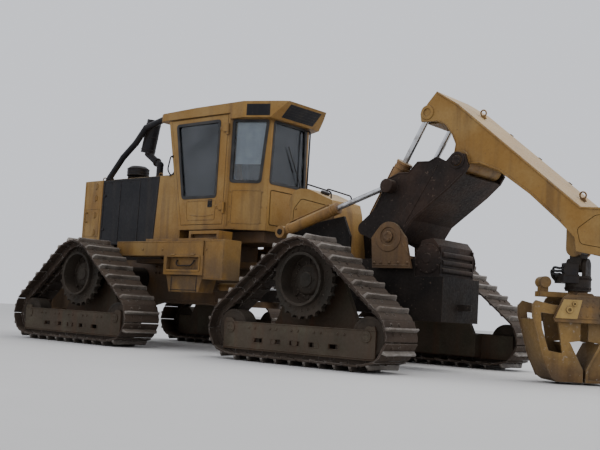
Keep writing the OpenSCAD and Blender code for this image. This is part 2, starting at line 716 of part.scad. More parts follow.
// Dark vent panels let into the roof's rear edge and its slanted corners
vent_t = 25;
module roof_vents() color("#1b1c1f") place() intersection() {
    roof_vent_cuts(fit);
    side(-1000, 2000) polygon([[-roof_rear + roof_lean, cab_top - skirt_h], [corner_x, cab_top - skirt_h],
        [corner_x, roof_top], [-roof_rear, roof_top]]);
}
roof_lean = 215;
vent_run = [150, 470];
module roof_vent_cuts(o) {
    translate([-roof_rear - 1, -roof_rear_y + 80 + o, roof_top - 30 - (roof_t + skirt_h - 60) + o]) side_skin(o);
    a = [-roof_rear + 90, roof_rear_y + 40];
    b = [roof_corner_x, roof_y];
    both() translate([a.x, a.y, 0]) rotate([0, 0, atan2(b.y - a.y, b.x - a.x)])
        block([vent_run[0] + o, -vent_t + o, cab_top - skirt_h + 25 + o], [vent_run[1] - o, 1 - o, roof_top - 40 - o]);
}
module side_skin(o) {
    w = 2 * roof_rear_y - 160 - 2 * o;
    h = roof_t + skirt_h - 60 - 2 * o;
    k = roof_lean / (roof_t + skirt_h);
    translate([0, w, 0]) rotate([90, 0, 0]) linear_extrude(w)
        polygon([[k * (30 + h + o) , 0], [k * (30 + o), h], [k * (30 + o) + vent_t + 2 - o, h],
            [k * (30 + h + o) + vent_t + 2 - o, 0]]);
}

module seat() color("#2a2a2c") place() {
    z = cab_z + floor_t;
    translate([380, 0, z]) {
        cylinder(r = 120, h = 220);
        translate([-250, -240, 220]) cube([500, 480, 130]);
        translate([-300, -230, 350]) cube([110, 460, 650]);
    }
}
module console() color("#2a2a2c") place() {
    z = cab_z + floor_t;
    block([850, -250, z], [930, 250, z + 520]);
    both() block([120, 300, z], [620, 420, z + 480]);
}

// Door in the left wall, hung on its rear upright edge
function door_in(o) = [[door_rear + o, door_z + o], [door_rear + door_l - o, door_z + o],
    [door_rear + door_l + door_lean * (door_top - door_z) - o * 1.3, door_top - o], [door_rear + o, door_top - o]];
door_t = 40;
door_hinge_y = cab_y + 22;
module cab_door() color("#d9a43a") place() union() {
    difference() {
        side(cab_y - door_t, door_t) polygon(door_in(door_gap));
        side(cab_y - door_t - 1, door_t + 2) polygon(glass_outline);
    }
    for (z = hinge_zs) difference() {
        union() {
            translate([door_rear - 20, door_hinge_y, z]) cylinder(r = 17, h = 110);
            block([door_rear - 20, cab_y + play, z + 5], [door_rear + 70, door_hinge_y, z + 105]);
            block([door_rear + 12, cab_y - 4, z + 5], [door_rear + 70, cab_y + play + 1, z + 105]);
        }
        translate([door_rear - 20, door_hinge_y, z - 1]) cylinder(r = 9 + run_fit, h = 112);
    }
}
hinge_zs = [1850, 2900];
// Knuckles and pins of the door's hinges on the cab's wall
module door_knuckles() for (z = hinge_zs) {
    translate([door_rear - 20, door_hinge_y, z - 41]) cylinder(r = 17, h = 40);
    translate([door_rear - 20, door_hinge_y, z - 41]) cylinder(r = 9, h = 150);
    block([door_rear - 34, cab_y - 2, z - 41], [door_rear - 6, door_hinge_y, z - 1]);
}
module door_glass() color("#33434a", 0.5) place()
    side(cab_y - 26, glass_t) polygon(shrink(glass_outline, fit));

// Side boxes: ledge along the body, step box with a recessed tray, rear block and a tapered foot
module left_side_box() color("#d9a43a") place() side_box(1);
module right_side_box() color("#d9a43a") place() mirror([0, 1, 0]) side_box(0);
module side_box(tray) {
    difference() {
        union() {
            block([120, box_in_y, ledge_z], [ledge_x, box_y, ledge_z + ledge_h]);
            block([110, box_in_y, 970], [860, box_y, ledge_z]);
            block([-250, box_in_y, 920], [110, box_y - 10, 1430]);
            side(box_in_y, box_y - box_in_y - 50) polygon([[150, 970], [850, 970], [780, 750], [220, 750]]);
            block([0, 610, ledge_z + ledge_h], [1300, box_y - 40, ledge_z + ledge_h + 40]);
            block([0, 610, ledge_z + ledge_h + 40], [560, box_y - 140, cab_z - 40]);
        }
        if (tray == 1) {
            block([190, box_y - 60, 1040], [790, box_y + 1, 1200]);
            block([40, box_y - 200, ledge_z + ledge_h + 55], [520, box_y, ledge_z + ledge_h + 105]);
        }
    }
}

// Blade with its arms; its face is hollow towards the front
module blade() color("#c8923a") place() {
    difference() {
        block([blade_x, -blade_y, blade_z], [blade_x + 180, blade_y, blade_z + blade_h]);
        translate([blade_x + 610, blade_y + 1, blade_z + blade_h / 2 + 40]) rotate([90, 0, 0])
            cylinder(r = 560, h = 2 * blade_y + 2, $fn = 180);
    }
    both() difference() {
        side(arm_y, arm_t) polygon([[arm_pivot_x - 90, arm_pivot_z - 90], [arm_pivot_x - 90, arm_pivot_z + 90],
            [arm_pivot_x + 90, arm_pivot_z + 90], [blade_x, blade_z + 430], [blade_x, blade_z + 90],
            [arm_pivot_x + 150, arm_pivot_z - 90]]);
        bar_y(arm_pivot_x, arm_pivot_z, 45 + run_fit, 0, 2000);
    }
    both() {
        eye = blade_link[1];
        block([blade_x - 170, blade_cyl_y + blade_cyl[5] / 2 + fit, eye.y - 60],
            [blade_x, blade_cyl_y + blade_cyl[5] / 2 + 35, eye.y + 60]);
    }
}
module blade_barrels() color("#c8923a") place() both() on_link(blade_link, blade_cyl_y, false) barrel(blade_cyl);
module blade_rods() color("#c9ccd0") place() both() on_link(blade_link, blade_cyl_y, true) piston_rod(blade_cyl);

// Track units
module front_left_track() color("#4d4337") place() track_loop(front_axle_x);
module front_right_track() color("#4d4337") place() mirror([0, 1, 0]) track_loop(front_axle_x);
module rear_left_track() color("#4d4337") place() track_loop(rear_axle_x);
module rear_right_track() color("#4d4337") place() mirror([0, 1, 0]) track_loop(rear_axle_x);
module front_sprockets() color("#5f574a") place() both() sprocket(front_axle_x);
module rear_sprockets() color("#5f574a") place() both() sprocket(rear_axle_x);
module front_rollers() color("#3f3a33") place() both() roller_set(front_axle_x);
module rear_rollers() color("#3f3a33") place() both() roller_set(rear_axle_x);
module front_roller_frames() color("#6b6250") place() both() roller_frame(front_axle_x);
module rear_roller_frames() color("#6b6250") place() both() roller_frame(rear_axle_x);

// Steering cylinders
module left_steer_barrel() color("#c8923a") place() on_steer(1, false) barrel(steer_cyl);
module left_steer_rod() color("#c9ccd0") place() on_steer(1, true) piston_rod(steer_cyl);
module right_steer_barrel() color("#c8923a") place() on_steer(-1, false) barrel(steer_cyl);
module right_steer_rod() color("#c9ccd0") place() on_steer(-1, true) piston_rod(steer_cyl);

// Rear frame
tongue_z0 = yoke_low + yoke_t + play;
tongue_z1 = yoke_top - yoke_t - play;
tail_x = -2700;
winch_end = 3000;
module rear_frame() color("#5c5140") place() {
    difference() {
        union() {
            side(-frame_y, 2 * frame_y) polygon([[-rear_box, 620], [-rear_box, rear_top], [tail_x, rear_top],
                [tail_x, 1050], [-rear_end, 1050], [-rear_end, 550], [tail_x, 550], [tail_x + 200, 620]]);
            translate([0, 0, tongue_z0]) linear_extrude(tongue_z1 - tongue_z0) {
                translate([hinge_x, 0]) circle(r = hinge_eye_r);
                polygon([[hinge_x, -hinge_eye_r], [hinge_x, hinge_eye_r], [-rear_box, hinge_eye_r + 30],
                    [-rear_box, -hinge_eye_r - 30]]);
            }
        }
        axle_room(rear_axle_x);
        translate([hinge_x, 0, 0]) cylinder(r = hinge_pin_r + run_fit, h = 2000);
    }
    for (s = [-1, 1]) mirror([0, s < 0 ? 1 : 0, 0]) {
        steer_seat();
        arch_foot();
    }
    tow_eye(-rear_end, -1);
}
// Plate under the open end of a steering cylinder
module steer_seat() {
    p = steer_link[1];
    block([-rear_box, p.y - 70, steer_z - steer_cyl[5] / 2 - fit - lug_t],
        [p.x + 60, p.y + 70, steer_z - steer_cyl[5] / 2 - fit]);
    block([-rear_box - 60, frame_y - 20, steer_z - steer_cyl[5] / 2 - fit - 110],
        [-rear_box, p.y + 70, steer_z - steer_cyl[5] / 2 - fit]);
}
deck_plate_y = deck_y + 10;
deck_plate_t = 35;
// Dark side plate under the deck, with the foot pin of an arch cylinder
module arch_foot() {
    foot = arch_link[0];
    side(deck_plate_y, deck_plate_t) polygon([[-1720, rear_top - 10], [-1720, 1520], [-1610, 1760],
        [foot.x, foot.y + 60], [foot.x + 60, foot.y + 30], [foot.x + 60, foot.y - 40], [-rear_box, 1400],
        [-rear_box, rear_top - 10]]);
    bar_y(foot.x, foot.y, arch_cyl[6] + 22, deck_plate_y, arch_cyl_y - arch_cyl[5] / 2 - fit - deck_plate_y);
    bar_y(foot.x, foot.y, arch_cyl[6], deck_plate_y, arch_cyl_y + arch_cyl[5] / 2 + 12 - deck_plate_y);
}

// Deck behind the cab: rounded at the front, sloping down to the rear
module rear_deck() color("#d9a43a") place() difference() {
    side(-deck_y, 2 * deck_y) union() {
        polygon([[-700, rear_top + fit], [-700, deck_top - 200], [-840, deck_top], [-990, deck_top - 10],
            [-1370, 1975], [-1405, 1860], [-1500, rear_top + fit]]);
        translate([-860, deck_top - 180]) circle(r = 180);
    }
}

// Tower plates that carry the arch, standing on feet on the rear frame
module tower_plates() color("#b8862f") place() both() {
    side(tower_y, tower_t) difference() {
        union() {
            polygon([[-2690, 1130], [-2160, 1130], [-2130, 1480], [-2230, 1600], [-2480, 1620], [-2600, 1480]]);
            translate([-arch_pivot_x, arch_pivot_z]) circle(r = 170);
        }
        translate([-arch_pivot_x, arch_pivot_z]) circle(r = 60 + run_fit);
    }
    block([-2660, 330, rear_top + fit], [-2180, tower_y + 1, rear_top + 32]);
}

// Winch housing on the tail of the rear frame
module winch_box() color("#2c2925") place() union() {
    side(-frame_y + 20, 2 * frame_y - 40) polygon([[tail_x - 1, 1050], [-winch_end, 1050], [-winch_end + 20, 1400],
        [-winch_end + 90, 1480], [tail_x - 60, 1450], [tail_x - 1, 1320]]);
}

module arch_barrels() color("#d9a43a") place() both() on_link(arch_link, arch_cyl_y, false) barrel(arch_cyl);
module arch_rods() color("#c9ccd0") place() both() on_link(arch_link, arch_cyl_y, true) piston_rod(arch_cyl);

// Arch: two side plates with a floor plate between them
arch_low = [[-3290, 2190], [-2500, 1640]];
module arch_outline() {
    foot = boom_link[0];
    translate(foot) circle(r = boom_cyl[4]);
    polygon([[-2210, 1420], foot + [0, -boom_cyl[4]], foot + [boom_cyl[4] * 0.7, boom_cyl[4] * 0.7],
        [-2100, 1800], [-2130, 1850], [-2300, 2180], [-2440, 2235], [-2580, 2235],
        [-2690, 2350], [-2840, 2345], [-2940, 2390], [-3060, 2330], [-3130, 2400], [-3290, 2400],
        [-3345, 2260], [-3290, 2170], [-3120, 2020], [-2660, 1680], [-2500, 1440]]);
}
module arch() color("#3a2d25") place() {
    both() {
        side(arch_y, arch_t) difference() {
            arch_outline();
            translate([-boom_pivot_x, boom_pivot_z]) circle(r = 60 + run_fit);
        }
        bar_y(-arch_pivot_x, arch_pivot_z, 60, arch_y, tower_y + tower_t + 10 - arch_y);
        foot = boom_link[0];
        in_y = boom_cyl_y - boom_cyl[5] / 2;
        bar_y(foot.x, foot.y, boom_cyl[4], in_y + boom_cyl[5] + fit, arch_y - in_y - boom_cyl[5] - fit + 1);
        bar_y(foot.x, foot.y, boom_cyl[6], in_y - 12, arch_y - in_y + 13);
        eye = arch_link[1];
        bar_y(eye.x, eye.y, 72, arch_y + 1, arch_cyl_y - arch_cyl[5] / 2 - fit - arch_y - 1);
    }
    side(-arch_y, 2 * arch_y) polygon([[-3290, 2170], [-3120, 2020], [-2660, 1680], [-2500, 1440],
        [-2475, 1455], [-2640, 1700], [-3105, 2045], [-3272, 2190]]);
    side(-arch_y, 2 * arch_y) polygon([[-2690, 2350], [-2580, 2235], [-2510, 2235], [-2510, 2210], [-2590, 2210],
        [-2700, 2322]]);
}

module boom_barrels() color("#c8923a") place() both() on_link(boom_link, boom_cyl_y, false) barrel(boom_cyl);
module boom_rods() color("#6b6e72") place() both() on_link(boom_link, boom_cyl_y, true) piston_rod(boom_cyl);

// Boom: a wide flat box that bends level at its tip, on a bracket down to its pivot
boom_outline = [[-2860, 3160], [-3140, 2985], [-4600, 1778], [-4880, 1760], [-4985, 1700], [-4990, 1430],
    [-4900, 1320], [-4800, 1285], [-4560, 1330], [-4540, 1470], [-4380, 1630], [-4040, 1930], [-3680, 2190], [-3440, 2290],
    [-3330, 2300], [-3130, 2290], [-3110, 2400], [-3130, 2530], [-3070, 2660], [-2980, 2770], [-2860, 2815],
    [-2665, 2825], [-2650, 2920], [-2750, 3040]];
module boom() color("#d9a43a") place() {
    difference() {
        side(-boom_y, 2 * boom_y) union() {
            polygon(boom_outline);
            translate([-boom_pivot_x, boom_pivot_z]) circle(r = 130);
        }
        both() side(boom_cyl_y - boom_cyl[5] / 2 - play, boom_y - boom_t - boom_cyl_y + boom_cyl[5] / 2 + play)
            polygon([[-2500, 2700], [-2500, 3060], [-2790, 3060], [-2960, 2990], [-2990, 2700]]);
        block([-5000, -tip_slot, 1200], [-4380, tip_slot, 1490]);
    }
    both() {
        bar_y(-boom_pivot_x, boom_pivot_z, 60, boom_y - 1, arch_y + arch_t + 8 - boom_y);
        bar_y(-boom_pivot_x, boom_pivot_z, 120, boom_y - 1, arch_y - play - boom_y + 1);
        side(tip_slot, 35) difference() {
            union() {
                translate([-hang_x, hang_z]) circle(r = 85);
                polygon([[-hang_x - 85, hang_z], [-hang_x - 85, 1600], [-hang_x + 85, 1720], [-hang_x + 85, hang_z]]);
            }
        }
    }
    bar_y(-hang_x, hang_z, 40, -tip_slot, 2 * tip_slot);
}
tip_slot = 95;

// Grapple, hung on two crossed pins
cross_z = 1215;
module swing_link() color("#1e1d1f") place() difference() {
    union() {
        bar_y(-hang_x, hang_z, 78, -tip_slot + play, 2 * (tip_slot - play));
        block([-hang_x - 60, -tip_slot + play, cross_z - 5], [-hang_x + 60, tip_slot - play, hang_z]);
        translate([-hang_x - 60, 0, cross_z]) rotate([0, 90, 0]) cylinder(r = 75, h = 120);
    }
    bar_y(-hang_x, hang_z, 40 + run_fit, -500, 1000);
    translate([-hang_x - 200, 0, cross_z]) rotate([0, 90, 0]) cylinder(r = 36 + run_fit, h = 400);
}
rot_top = 1100;
rot_low = 945;
module rotator() color("#2a2620") place() union() {
    for (s = [-1, 1]) translate([-hang_x + s * 87 - 20, 0, 0]) {
        translate([0, 0, cross_z]) rotate([0, 90, 0]) cylinder(r = 70, h = 40);
        block([0, -70, rot_top - 30], [40, 70, cross_z]);
    }
    translate([-hang_x - 107, 0, cross_z]) rotate([0, 90, 0]) cylinder(r = 36, h = 214);
    translate([-hang_x, 0, rot_low]) cylinder(r = rotator_r, h = rot_top - rot_low);
    // valve block on the side and its seat
    grapple_axes() {
        block([-195, 75, 1095], [-90, 215, 1220]);
        block([-180, 60, 1020], [70, 225, 1110]);
    }
}

// The grapple's own axes: a along its tong pins, b across them
module grapple_axes() translate([-hang_x, 0, 0]) rotate([0, 0, grapple_yaw]) children();
head_a = 260;
cheek_t = 30;
module grapple_head() color("#d9a43a") place() grapple_axes() {
    translate([0, 0, 895]) cylinder(r = 100, h = rot_low - fit - 895);
    block([-head_a, -100, 870], [head_a, 100, 900]);
    // arm and the motor that stands on its end
    block([-70, 60, 870], [70, 430, 925]);
    translate([-80, 371, 1020]) rotate([0, 90, 0]) cylinder(r = 59, h = 160);
    block([-50, 330, 924], [50, 412, 1000]);
    for (s = [-1, 1]) {
        translate([s > 0 ? head_a - cheek_t : -head_a, 0, 0]) rotate([90, 0, 90]) linear_extrude(cheek_t)
            polygon([[-330, 620], [330, 620], [345, 650], [250, 860], [200, 900], [-200, 900], [-250, 860],
                [-345, 650]]);
        translate([-head_a, s * tong_b, tong_z]) rotate([0, 90, 0]) cylinder(r = 40, h = 2 * head_a);
    }
}
// One tong's rib, drawn in b and Z for the tong on the +b side
module tong_rib() difference() {
    polygon([[60, 700], [50, 600], [50, 440], [170, 420], [170, 392], [14, 150], [14, 25], [280, 25], [335, 60],
        [425, 250], [505, 530], [545, 660], [552, 780], [515, 825], [450, 810], [350, 790], [260, 785], [185, 830],
        [90, 810]]);
    translate([tong_b, tong_z]) circle(r = 40 + run_fit);
    polygon([[300, 690], [465, 705], [445, 545], [375, 330], [235, 310], [265, 520]]);
}
// Wrap plate that joins a tong's ribs
module tong_skin() polygon([[14, 25], [280, 25], [335, 60], [425, 250], [505, 530], [539, 640], [512, 640],
    [480, 536], [401, 256], [316, 76], [270, 50], [40, 50], [40, 160], [170, 392], [170, 420], [155, 420],
    [14, 150]]);
module tong(ribs, skin_a) {
    for (a = ribs) translate([a[0], 0, 0]) rotate([90, 0, 90]) linear_extrude(a[1] - a[0]) tong_rib();
    translate([-skin_a, 0, 0]) rotate([90, 0, 90]) linear_extrude(2 * skin_a) tong_skin();
}
module left_tong() color("#6b5230") place() grapple_axes() tong([[-224, -190], [190, 224]], 224);
module right_tong() color("#6b5230") place() grapple_axes() mirror([0, 1, 0]) tong([[-180, -146], [146, 180]], 224);

front_frame();
front_axle();
engine_block();
radiator_panel();
radiator_grille();
hood();
engine_side_panels();
cab_cowl();
pre_cleaner();
exhaust();
limb_risers();
cab_floor();
cab_front_wall();
cab_side_walls();
cab_rear_walls();
cab_roof();
roof_vents();
cab_windows();
seat();
console();
left_side_box();
right_side_box();
cab_door();
door_glass();
blade();
blade_barrels();
blade_rods();
front_left_track();
front_right_track();
front_sprockets();
front_rollers();
front_roller_frames();
left_steer_barrel();
left_steer_rod();
right_steer_barrel();
right_steer_rod();
rear_frame();
rear_axle();
rear_deck();
tower_plates();
winch_box();
rear_left_track();
rear_right_track();
rear_sprockets();
rear_rollers();
rear_roller_frames();
arch_barrels();
arch_rods();
arch();
boom_barrels();
boom_rods();
boom();
swing_link();
rotator();
grapple_head();
left_tong();
right_tong();
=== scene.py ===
import bpy
import json
import math
import numpy as np
from mathutils import Matrix, Vector


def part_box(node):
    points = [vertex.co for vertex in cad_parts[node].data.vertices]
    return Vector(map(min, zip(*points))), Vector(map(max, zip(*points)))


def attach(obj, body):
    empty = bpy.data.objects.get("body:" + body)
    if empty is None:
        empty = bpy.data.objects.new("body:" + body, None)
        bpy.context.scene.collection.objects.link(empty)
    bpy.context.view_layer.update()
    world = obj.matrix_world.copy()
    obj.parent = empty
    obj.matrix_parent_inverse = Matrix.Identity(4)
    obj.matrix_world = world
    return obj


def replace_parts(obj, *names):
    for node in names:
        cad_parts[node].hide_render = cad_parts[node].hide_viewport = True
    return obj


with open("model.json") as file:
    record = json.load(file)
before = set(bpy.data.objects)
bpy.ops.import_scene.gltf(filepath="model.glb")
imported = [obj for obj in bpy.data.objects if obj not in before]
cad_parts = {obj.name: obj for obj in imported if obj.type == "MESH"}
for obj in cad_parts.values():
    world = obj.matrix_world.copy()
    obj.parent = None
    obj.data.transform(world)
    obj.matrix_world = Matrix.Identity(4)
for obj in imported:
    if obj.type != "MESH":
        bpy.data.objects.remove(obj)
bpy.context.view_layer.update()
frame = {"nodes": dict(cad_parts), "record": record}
print("frame loaded")

# Shapes are drawn in millimetres from the middle between the axles, as the machine's drawing has them.
# A shape is its points and a list of face arrays; piece() turns shapes into one object.


# Middle of a node's box, in metres
def middleOf(name):
    low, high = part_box(name)
    return (np.array(low) + np.array(high)) / 2


midX = (middleOf("front_sprockets")[0] + middleOf("rear_sprockets")[0]) / 2
axleX = (middleOf("front_sprockets")[0] - middleOf("rear_sprockets")[0]) * 500
axleZ = middleOf("front_sprockets")[2] * 1000
nodeBody = {node: body for body, nodes in frame["record"]["behaviour"]["bodies"].items() for node in nodes}


# Corners of a node's box in the drawing's millimetres
def boxOf(name):
    return [np.array(corner) * 1000 - [midX * 1000, 0, 0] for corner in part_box(name)]


# Signed volume of the skin as the sum of the faces' fans of tetrahedra; a negative one is turned inside out
def outward(shape):
    points, faces = shape
    volume = 0.0
    for group in faces:
        first = points[group[:, 0]]
        for k in range(1, group.shape[1] - 1):
            volume += np.einsum("fi,fi->", first, np.cross(points[group[:, k]], points[group[:, k + 1]]))
    return shape if volume > 0 else (points, [group[:, ::-1] for group in faces])


# Rings of equal count joined in order by quads: point j of ring i meets points j and j + 1 of ring i + 1
def loft(rings, loop=False):
    rings = np.asarray(rings, float)
    n, m = rings.shape[:2]
    i, j = np.meshgrid(np.arange(n if loop else n - 1), np.arange(m), indexing="ij")
    near, far = i * m, (i + 1) % n * m
    quads = np.stack([near + j, near + (j + 1) % m, far + (j + 1) % m, far + j], -1).reshape(-1, 4)
    caps = [] if loop else [np.arange(m)[None, ::-1], (n - 1) * m + np.arange(m)[None]]
    points = rings.reshape(-1, 3)
    middle = points.mean(0)
    points, faces = outward((points - middle, [quads] + caps))
    return points + middle, faces


# A flat outline laid in a plane and drawn out from low to high along the plane's third axis
def slab(outline, plane, low, high):
    outline = np.asarray(outline, float)
    u, v = ["xyz".index(letter) for letter in plane]
    rings = np.zeros((2, len(outline), 3))
    rings[:, :, u] = outline[:, 0]
    rings[:, :, v] = outline[:, 1]
    rings[:, :, 3 - u - v] = np.array([[low], [high]])
    return loft(rings)


# Corners of a rectangle, round from its low corner
def rectangle(x0, x1, z0, z1):
    return [(x0, z0), (x1, z0), (x1, z1), (x0, z1)]


def block(low, high):
    x0, y0, z0 = low
    x1, y1, z1 = high
    return slab(rectangle(x0, x1, y0, y1), "xy", z0, z1)


# Circles of radius r at height h along an axis, for each (r, h) of the profile; a ring-shaped body if hollow
def turned(profile, centre, axis, count=48, hollow=False):
    profile = np.asarray(profile, float)
    angle = np.arange(count) * 2 * np.pi / count
    k = "xyz".index(axis)
    rings = np.zeros((len(profile), count, 3))
    rings[:, :, (k + 1) % 3] = profile[:, :1] * np.cos(angle)
    rings[:, :, (k + 2) % 3] = profile[:, :1] * np.sin(angle)
    rings[:, :, k] = profile[:, 1:]
    return loft(rings + np.asarray(centre, float), hollow)


# A path with each inner corner cut by a quadratic curve that starts and ends within radius of it
def eased(path, radius, steps=6):
    path = np.asarray(path, float)
    back, ahead = path[:-2] - path[1:-1], path[2:] - path[1:-1]
    backLength = np.linalg.norm(back, axis=1, keepdims=True)
    aheadLength = np.linalg.norm(ahead, axis=1, keepdims=True)
    p = path[1:-1] + back * np.minimum(radius / backLength, 0.45)
    q = path[1:-1] + ahead * np.minimum(radius / aheadLength, 0.45)
    t = np.linspace(0, 1, steps)[None, :, None]
    curve = (1 - t) ** 2 * p[:, None] + 2 * t * (1 - t) * path[1:-1, None] + t ** 2 * q[:, None]
    return np.concatenate([path[:1], curve.reshape(-1, 3), path[-1:]])


# Smooth curve through points by the Catmull-Rom formula, steps samples to each stretch
def smoothCurve(path, steps=8):
    path = np.asarray(path, float)
    p = np.concatenate([2 * path[:1] - path[1:2], path, 2 * path[-1:] - path[-2:-1]])
    a, b, c, d = [p[k:len(p) - 3 + k, None] for k in range(4)]
    t = (np.arange(steps) / steps)[None, :, None]
    squares, cubes = (2 * a - 5 * b + 4 * c - d) * t ** 2, (3 * b - a - 3 * c + d) * t ** 3
    curve = 0.5 * (2 * b + (c - a) * t + squares + cubes)
    return np.concatenate([curve.reshape(-1, 3), path[-1:]])


# Circles of a radius square to a path; a ring's first arm is the last one's, made square to the new direction
def pipe(path, radius, count=10):
    path = np.asarray(path, float)
    along = np.gradient(path, axis=0)
    along /= np.linalg.norm(along, axis=1, keepdims=True)
    arm = np.cross(along[0], [0.31, 0.17, 0.93])
    arms = np.zeros_like(path)
    for k, direction in enumerate(along):
        arm = arm - direction * (arm @ direction)
        arm = arm / np.linalg.norm(arm)
        arms[k] = arm
    other = np.cross(along, arms)
    angle = (np.arange(count) * 2 * np.pi / count)[None, :, None]
    radius = np.broadcast_to(np.asarray(radius, float), (len(path),))[:, None, None]
    return loft(path[:, None] + radius * (np.cos(angle) * arms[:, None] + np.sin(angle) * other[:, None]))


# Closed outline moved in by d: each corner goes along the sum of its two edge normals, over 1 + their product
def inset(outline, d):
    outline = np.asarray(outline, float)
    edge = np.roll(outline, -1, 0) - outline
    edge /= np.linalg.norm(edge, axis=1, keepdims=True)
    normal = np.stack([-edge[:, 1], edge[:, 0]], 1)
    before = np.roll(normal, 1, 0)
    area = np.sum(outline[:, 0] * np.roll(outline[:, 1], -1) - np.roll(outline[:, 0], -1) * outline[:, 1])
    share = 1 + np.sum(normal * before, 1, keepdims=True)
    return outline + np.sign(area) * d * (normal + before) / share


# Closed outline whose corners are quadratic curves that start within radius of the corner
def roundedOutline(outline, radius, steps=5):
    outline = np.asarray(outline, float)
    back, ahead = np.roll(outline, 1, 0) - outline, np.roll(outline, -1, 0) - outline
    p = outline + back * np.minimum(radius / np.linalg.norm(back, axis=1, keepdims=True), 0.45)
    q = outline + ahead * np.minimum(radius / np.linalg.norm(ahead, axis=1, keepdims=True), 0.45)
    t = np.linspace(0, 1, steps)[None, :, None]
    curve = (1 - t) ** 2 * p[:, None] + 2 * t * (1 - t) * outline[:, None] + t ** 2 * q[:, None]
    return curve.reshape(-1, 2)


# Flat (u, v) points carried to origin + u * across + v * up + depth * out
def onPlane(flat, depth, origin, across, up):
    flat, across, up = [np.asarray(part, float) for part in (flat, across, up)]
    out = np.cross(across, up)
    return np.asarray(origin, float) + flat[:, :1] * across + flat[:, 1:] * up + depth * out


# Plane of a side face at y: across is forward, up is up and depth goes inwards
def sidePlane(y):
    return (0, y, 0), (1, 0, 0), (0, 0, 1)


# Four-sided frame that follows a closed outline: rings at its outer and inner edge, front and back
def frameRing(outline, wide, back, front, place):
    outer, inner = inset(outline, -wide[0]), inset(outline, wide[1])
    rings = [onPlane(outer, back, *place), onPlane(outer, front, *place),
             onPlane(inner, front, *place), onPlane(inner, back, *place)]
    return loft(rings, loop=True)


# Every copy of a shape: its points through each matrix in turn
def spread(shape, matrices):
    points, faces = shape
    matrices = np.asarray(matrices, float)
    moved = np.einsum("kij,pj->kpi", matrices[:, :3, :3], points) + matrices[:, None, :3, 3]
    steps = np.arange(len(matrices))[:, None, None] * len(points)
    copies = [(group[None] + steps).reshape(-1, group.shape[1]) for group in faces]
    return moved.reshape(-1, 3), copies


# Matrices that carry the Z axis to a direction and the origin to each place
def standing(places, direction):
    direction = np.asarray(direction, float) / np.linalg.norm(direction)
    side = np.cross([0.27, 0.9, 0.34], direction)
    side /= np.linalg.norm(side)
    matrices = np.zeros((len(places), 4, 4))
    matrices[:, :3, 0] = side
    matrices[:, :3, 1] = np.cross(direction, side)
    matrices[:, :3, 2] = direction
    matrices[:, :3, 3] = np.asarray(places, float)
    return matrices


# A turned body stood at each place with its axis along a direction
def stood(profile, places, direction, count):
    return spread(turned(profile, (0, 0, 0), "z", count), standing(places, direction))


# A turned body on a side face, its axis across the machine through (x, z)
def disc(profile, x, z, count=48, hollow=False):
    return turned(profile, (x, 0, z), "y", count, hollow)


# Hexagon bolt heads on their washers, standing at the places along a direction
def bolts(places, radius, direction=(0, 1, 0)):
    washer = radius * 1.35
    head = [(washer, -2), (washer, 3), (radius, 3), (radius, radius * 0.75), (radius * 0.8, radius * 0.85)]
    return stood(head, places, direction, 6)


# Places on a circle in the X-Z plane about (x, z), at depth y
def boltCircle(x, z, y, radius, count, turn=0.0):
    angle = (np.arange(count) + turn) * 2 * np.pi / count
    return np.stack([x + radius * np.cos(angle), np.full(count, y), z + radius * np.sin(angle)], 1)


# A shape on the other side of the machine: Y changes sign, and each face its direction
def mirrored(shape):
    points, faces = shape
    return points * [1, -1, 1], [group[:, ::-1] for group in faces]


def bothSides(shapes):
    return shapes + [mirrored(shape) for shape in shapes]


# Joins shapes into one object that rides a node's body, in metres, with edges rounded by a bevel
def piece(name, shapes, node, material, bevel=2.0, segments=1, sharp=35):
    points = np.concatenate([shape[0] for shape in shapes]) / 1000 + [midX, 0, 0]
    starts = np.cumsum([0] + [len(shape[0]) for shape in shapes[:-1]])
    groups = [group + start for start, shape in zip(starts, shapes) for group in shape[1]]
    faces = [face for group in groups for face in group.tolist()]
    mesh = bpy.data.meshes.new(name)
    mesh.from_pydata(points.tolist(), [], faces)
    mesh.polygons.foreach_set("use_smooth", np.ones(len(faces), bool))
    mesh.set_sharp_from_angle(angle=math.radians(sharp))
    mesh.materials.append(material)
    made = bpy.data.objects.new(name, mesh)
    bpy.context.scene.collection.objects.link(made)
    if bevel:
        rounding = made.modifiers.new("edges", "BEVEL")
        rounding.width = bevel / 1000
        rounding.segments = segments
        rounding.limit_method = "ANGLE"
        rounding.angle_limit = math.radians(sharp)
    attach(made, nodeBody[node])
    return made


# Materials


# One node of a material; a socket is linked and anything else is set on the node's own input
def addNode(tree, kind, inputs, **settings):
    made = tree.nodes.new(kind)
    for key, value in settings.items():
        setattr(made, key, value)
    for key, value in inputs.items():
        if isinstance(value, bpy.types.NodeSocket):
            tree.links.new(value, made.inputs[key])
        else:
            made.inputs[key].default_value = value
    return made


# One colour mixed into another by a factor
def mixed(tree, factor, first, second, blend="MIX"):
    inputs = {0: factor, 6: first, 7: second}
    made = addNode(tree, "ShaderNodeMix", inputs, data_type="RGBA", blend_type=blend)
    return made.outputs[2]


# A value carried smoothly from first at low to last at high
def ranged(tree, value, low, high, first=0.0, last=1.0):
    inputs = {0: value, 1: low, 2: high, 3: first, 4: last}
    return addNode(tree, "ShaderNodeMapRange", inputs, interpolation_type="SMOOTHSTEP").outputs[0]


def times(tree, first, second):
    return addNode(tree, "ShaderNodeMath", {0: first, 1: second}, operation="MULTIPLY").outputs[0]


def plus(tree, first, second):
    return addNode(tree, "ShaderNodeMath", {0: first, 1: second}, operation="ADD", use_clamp=True).outputs[0]


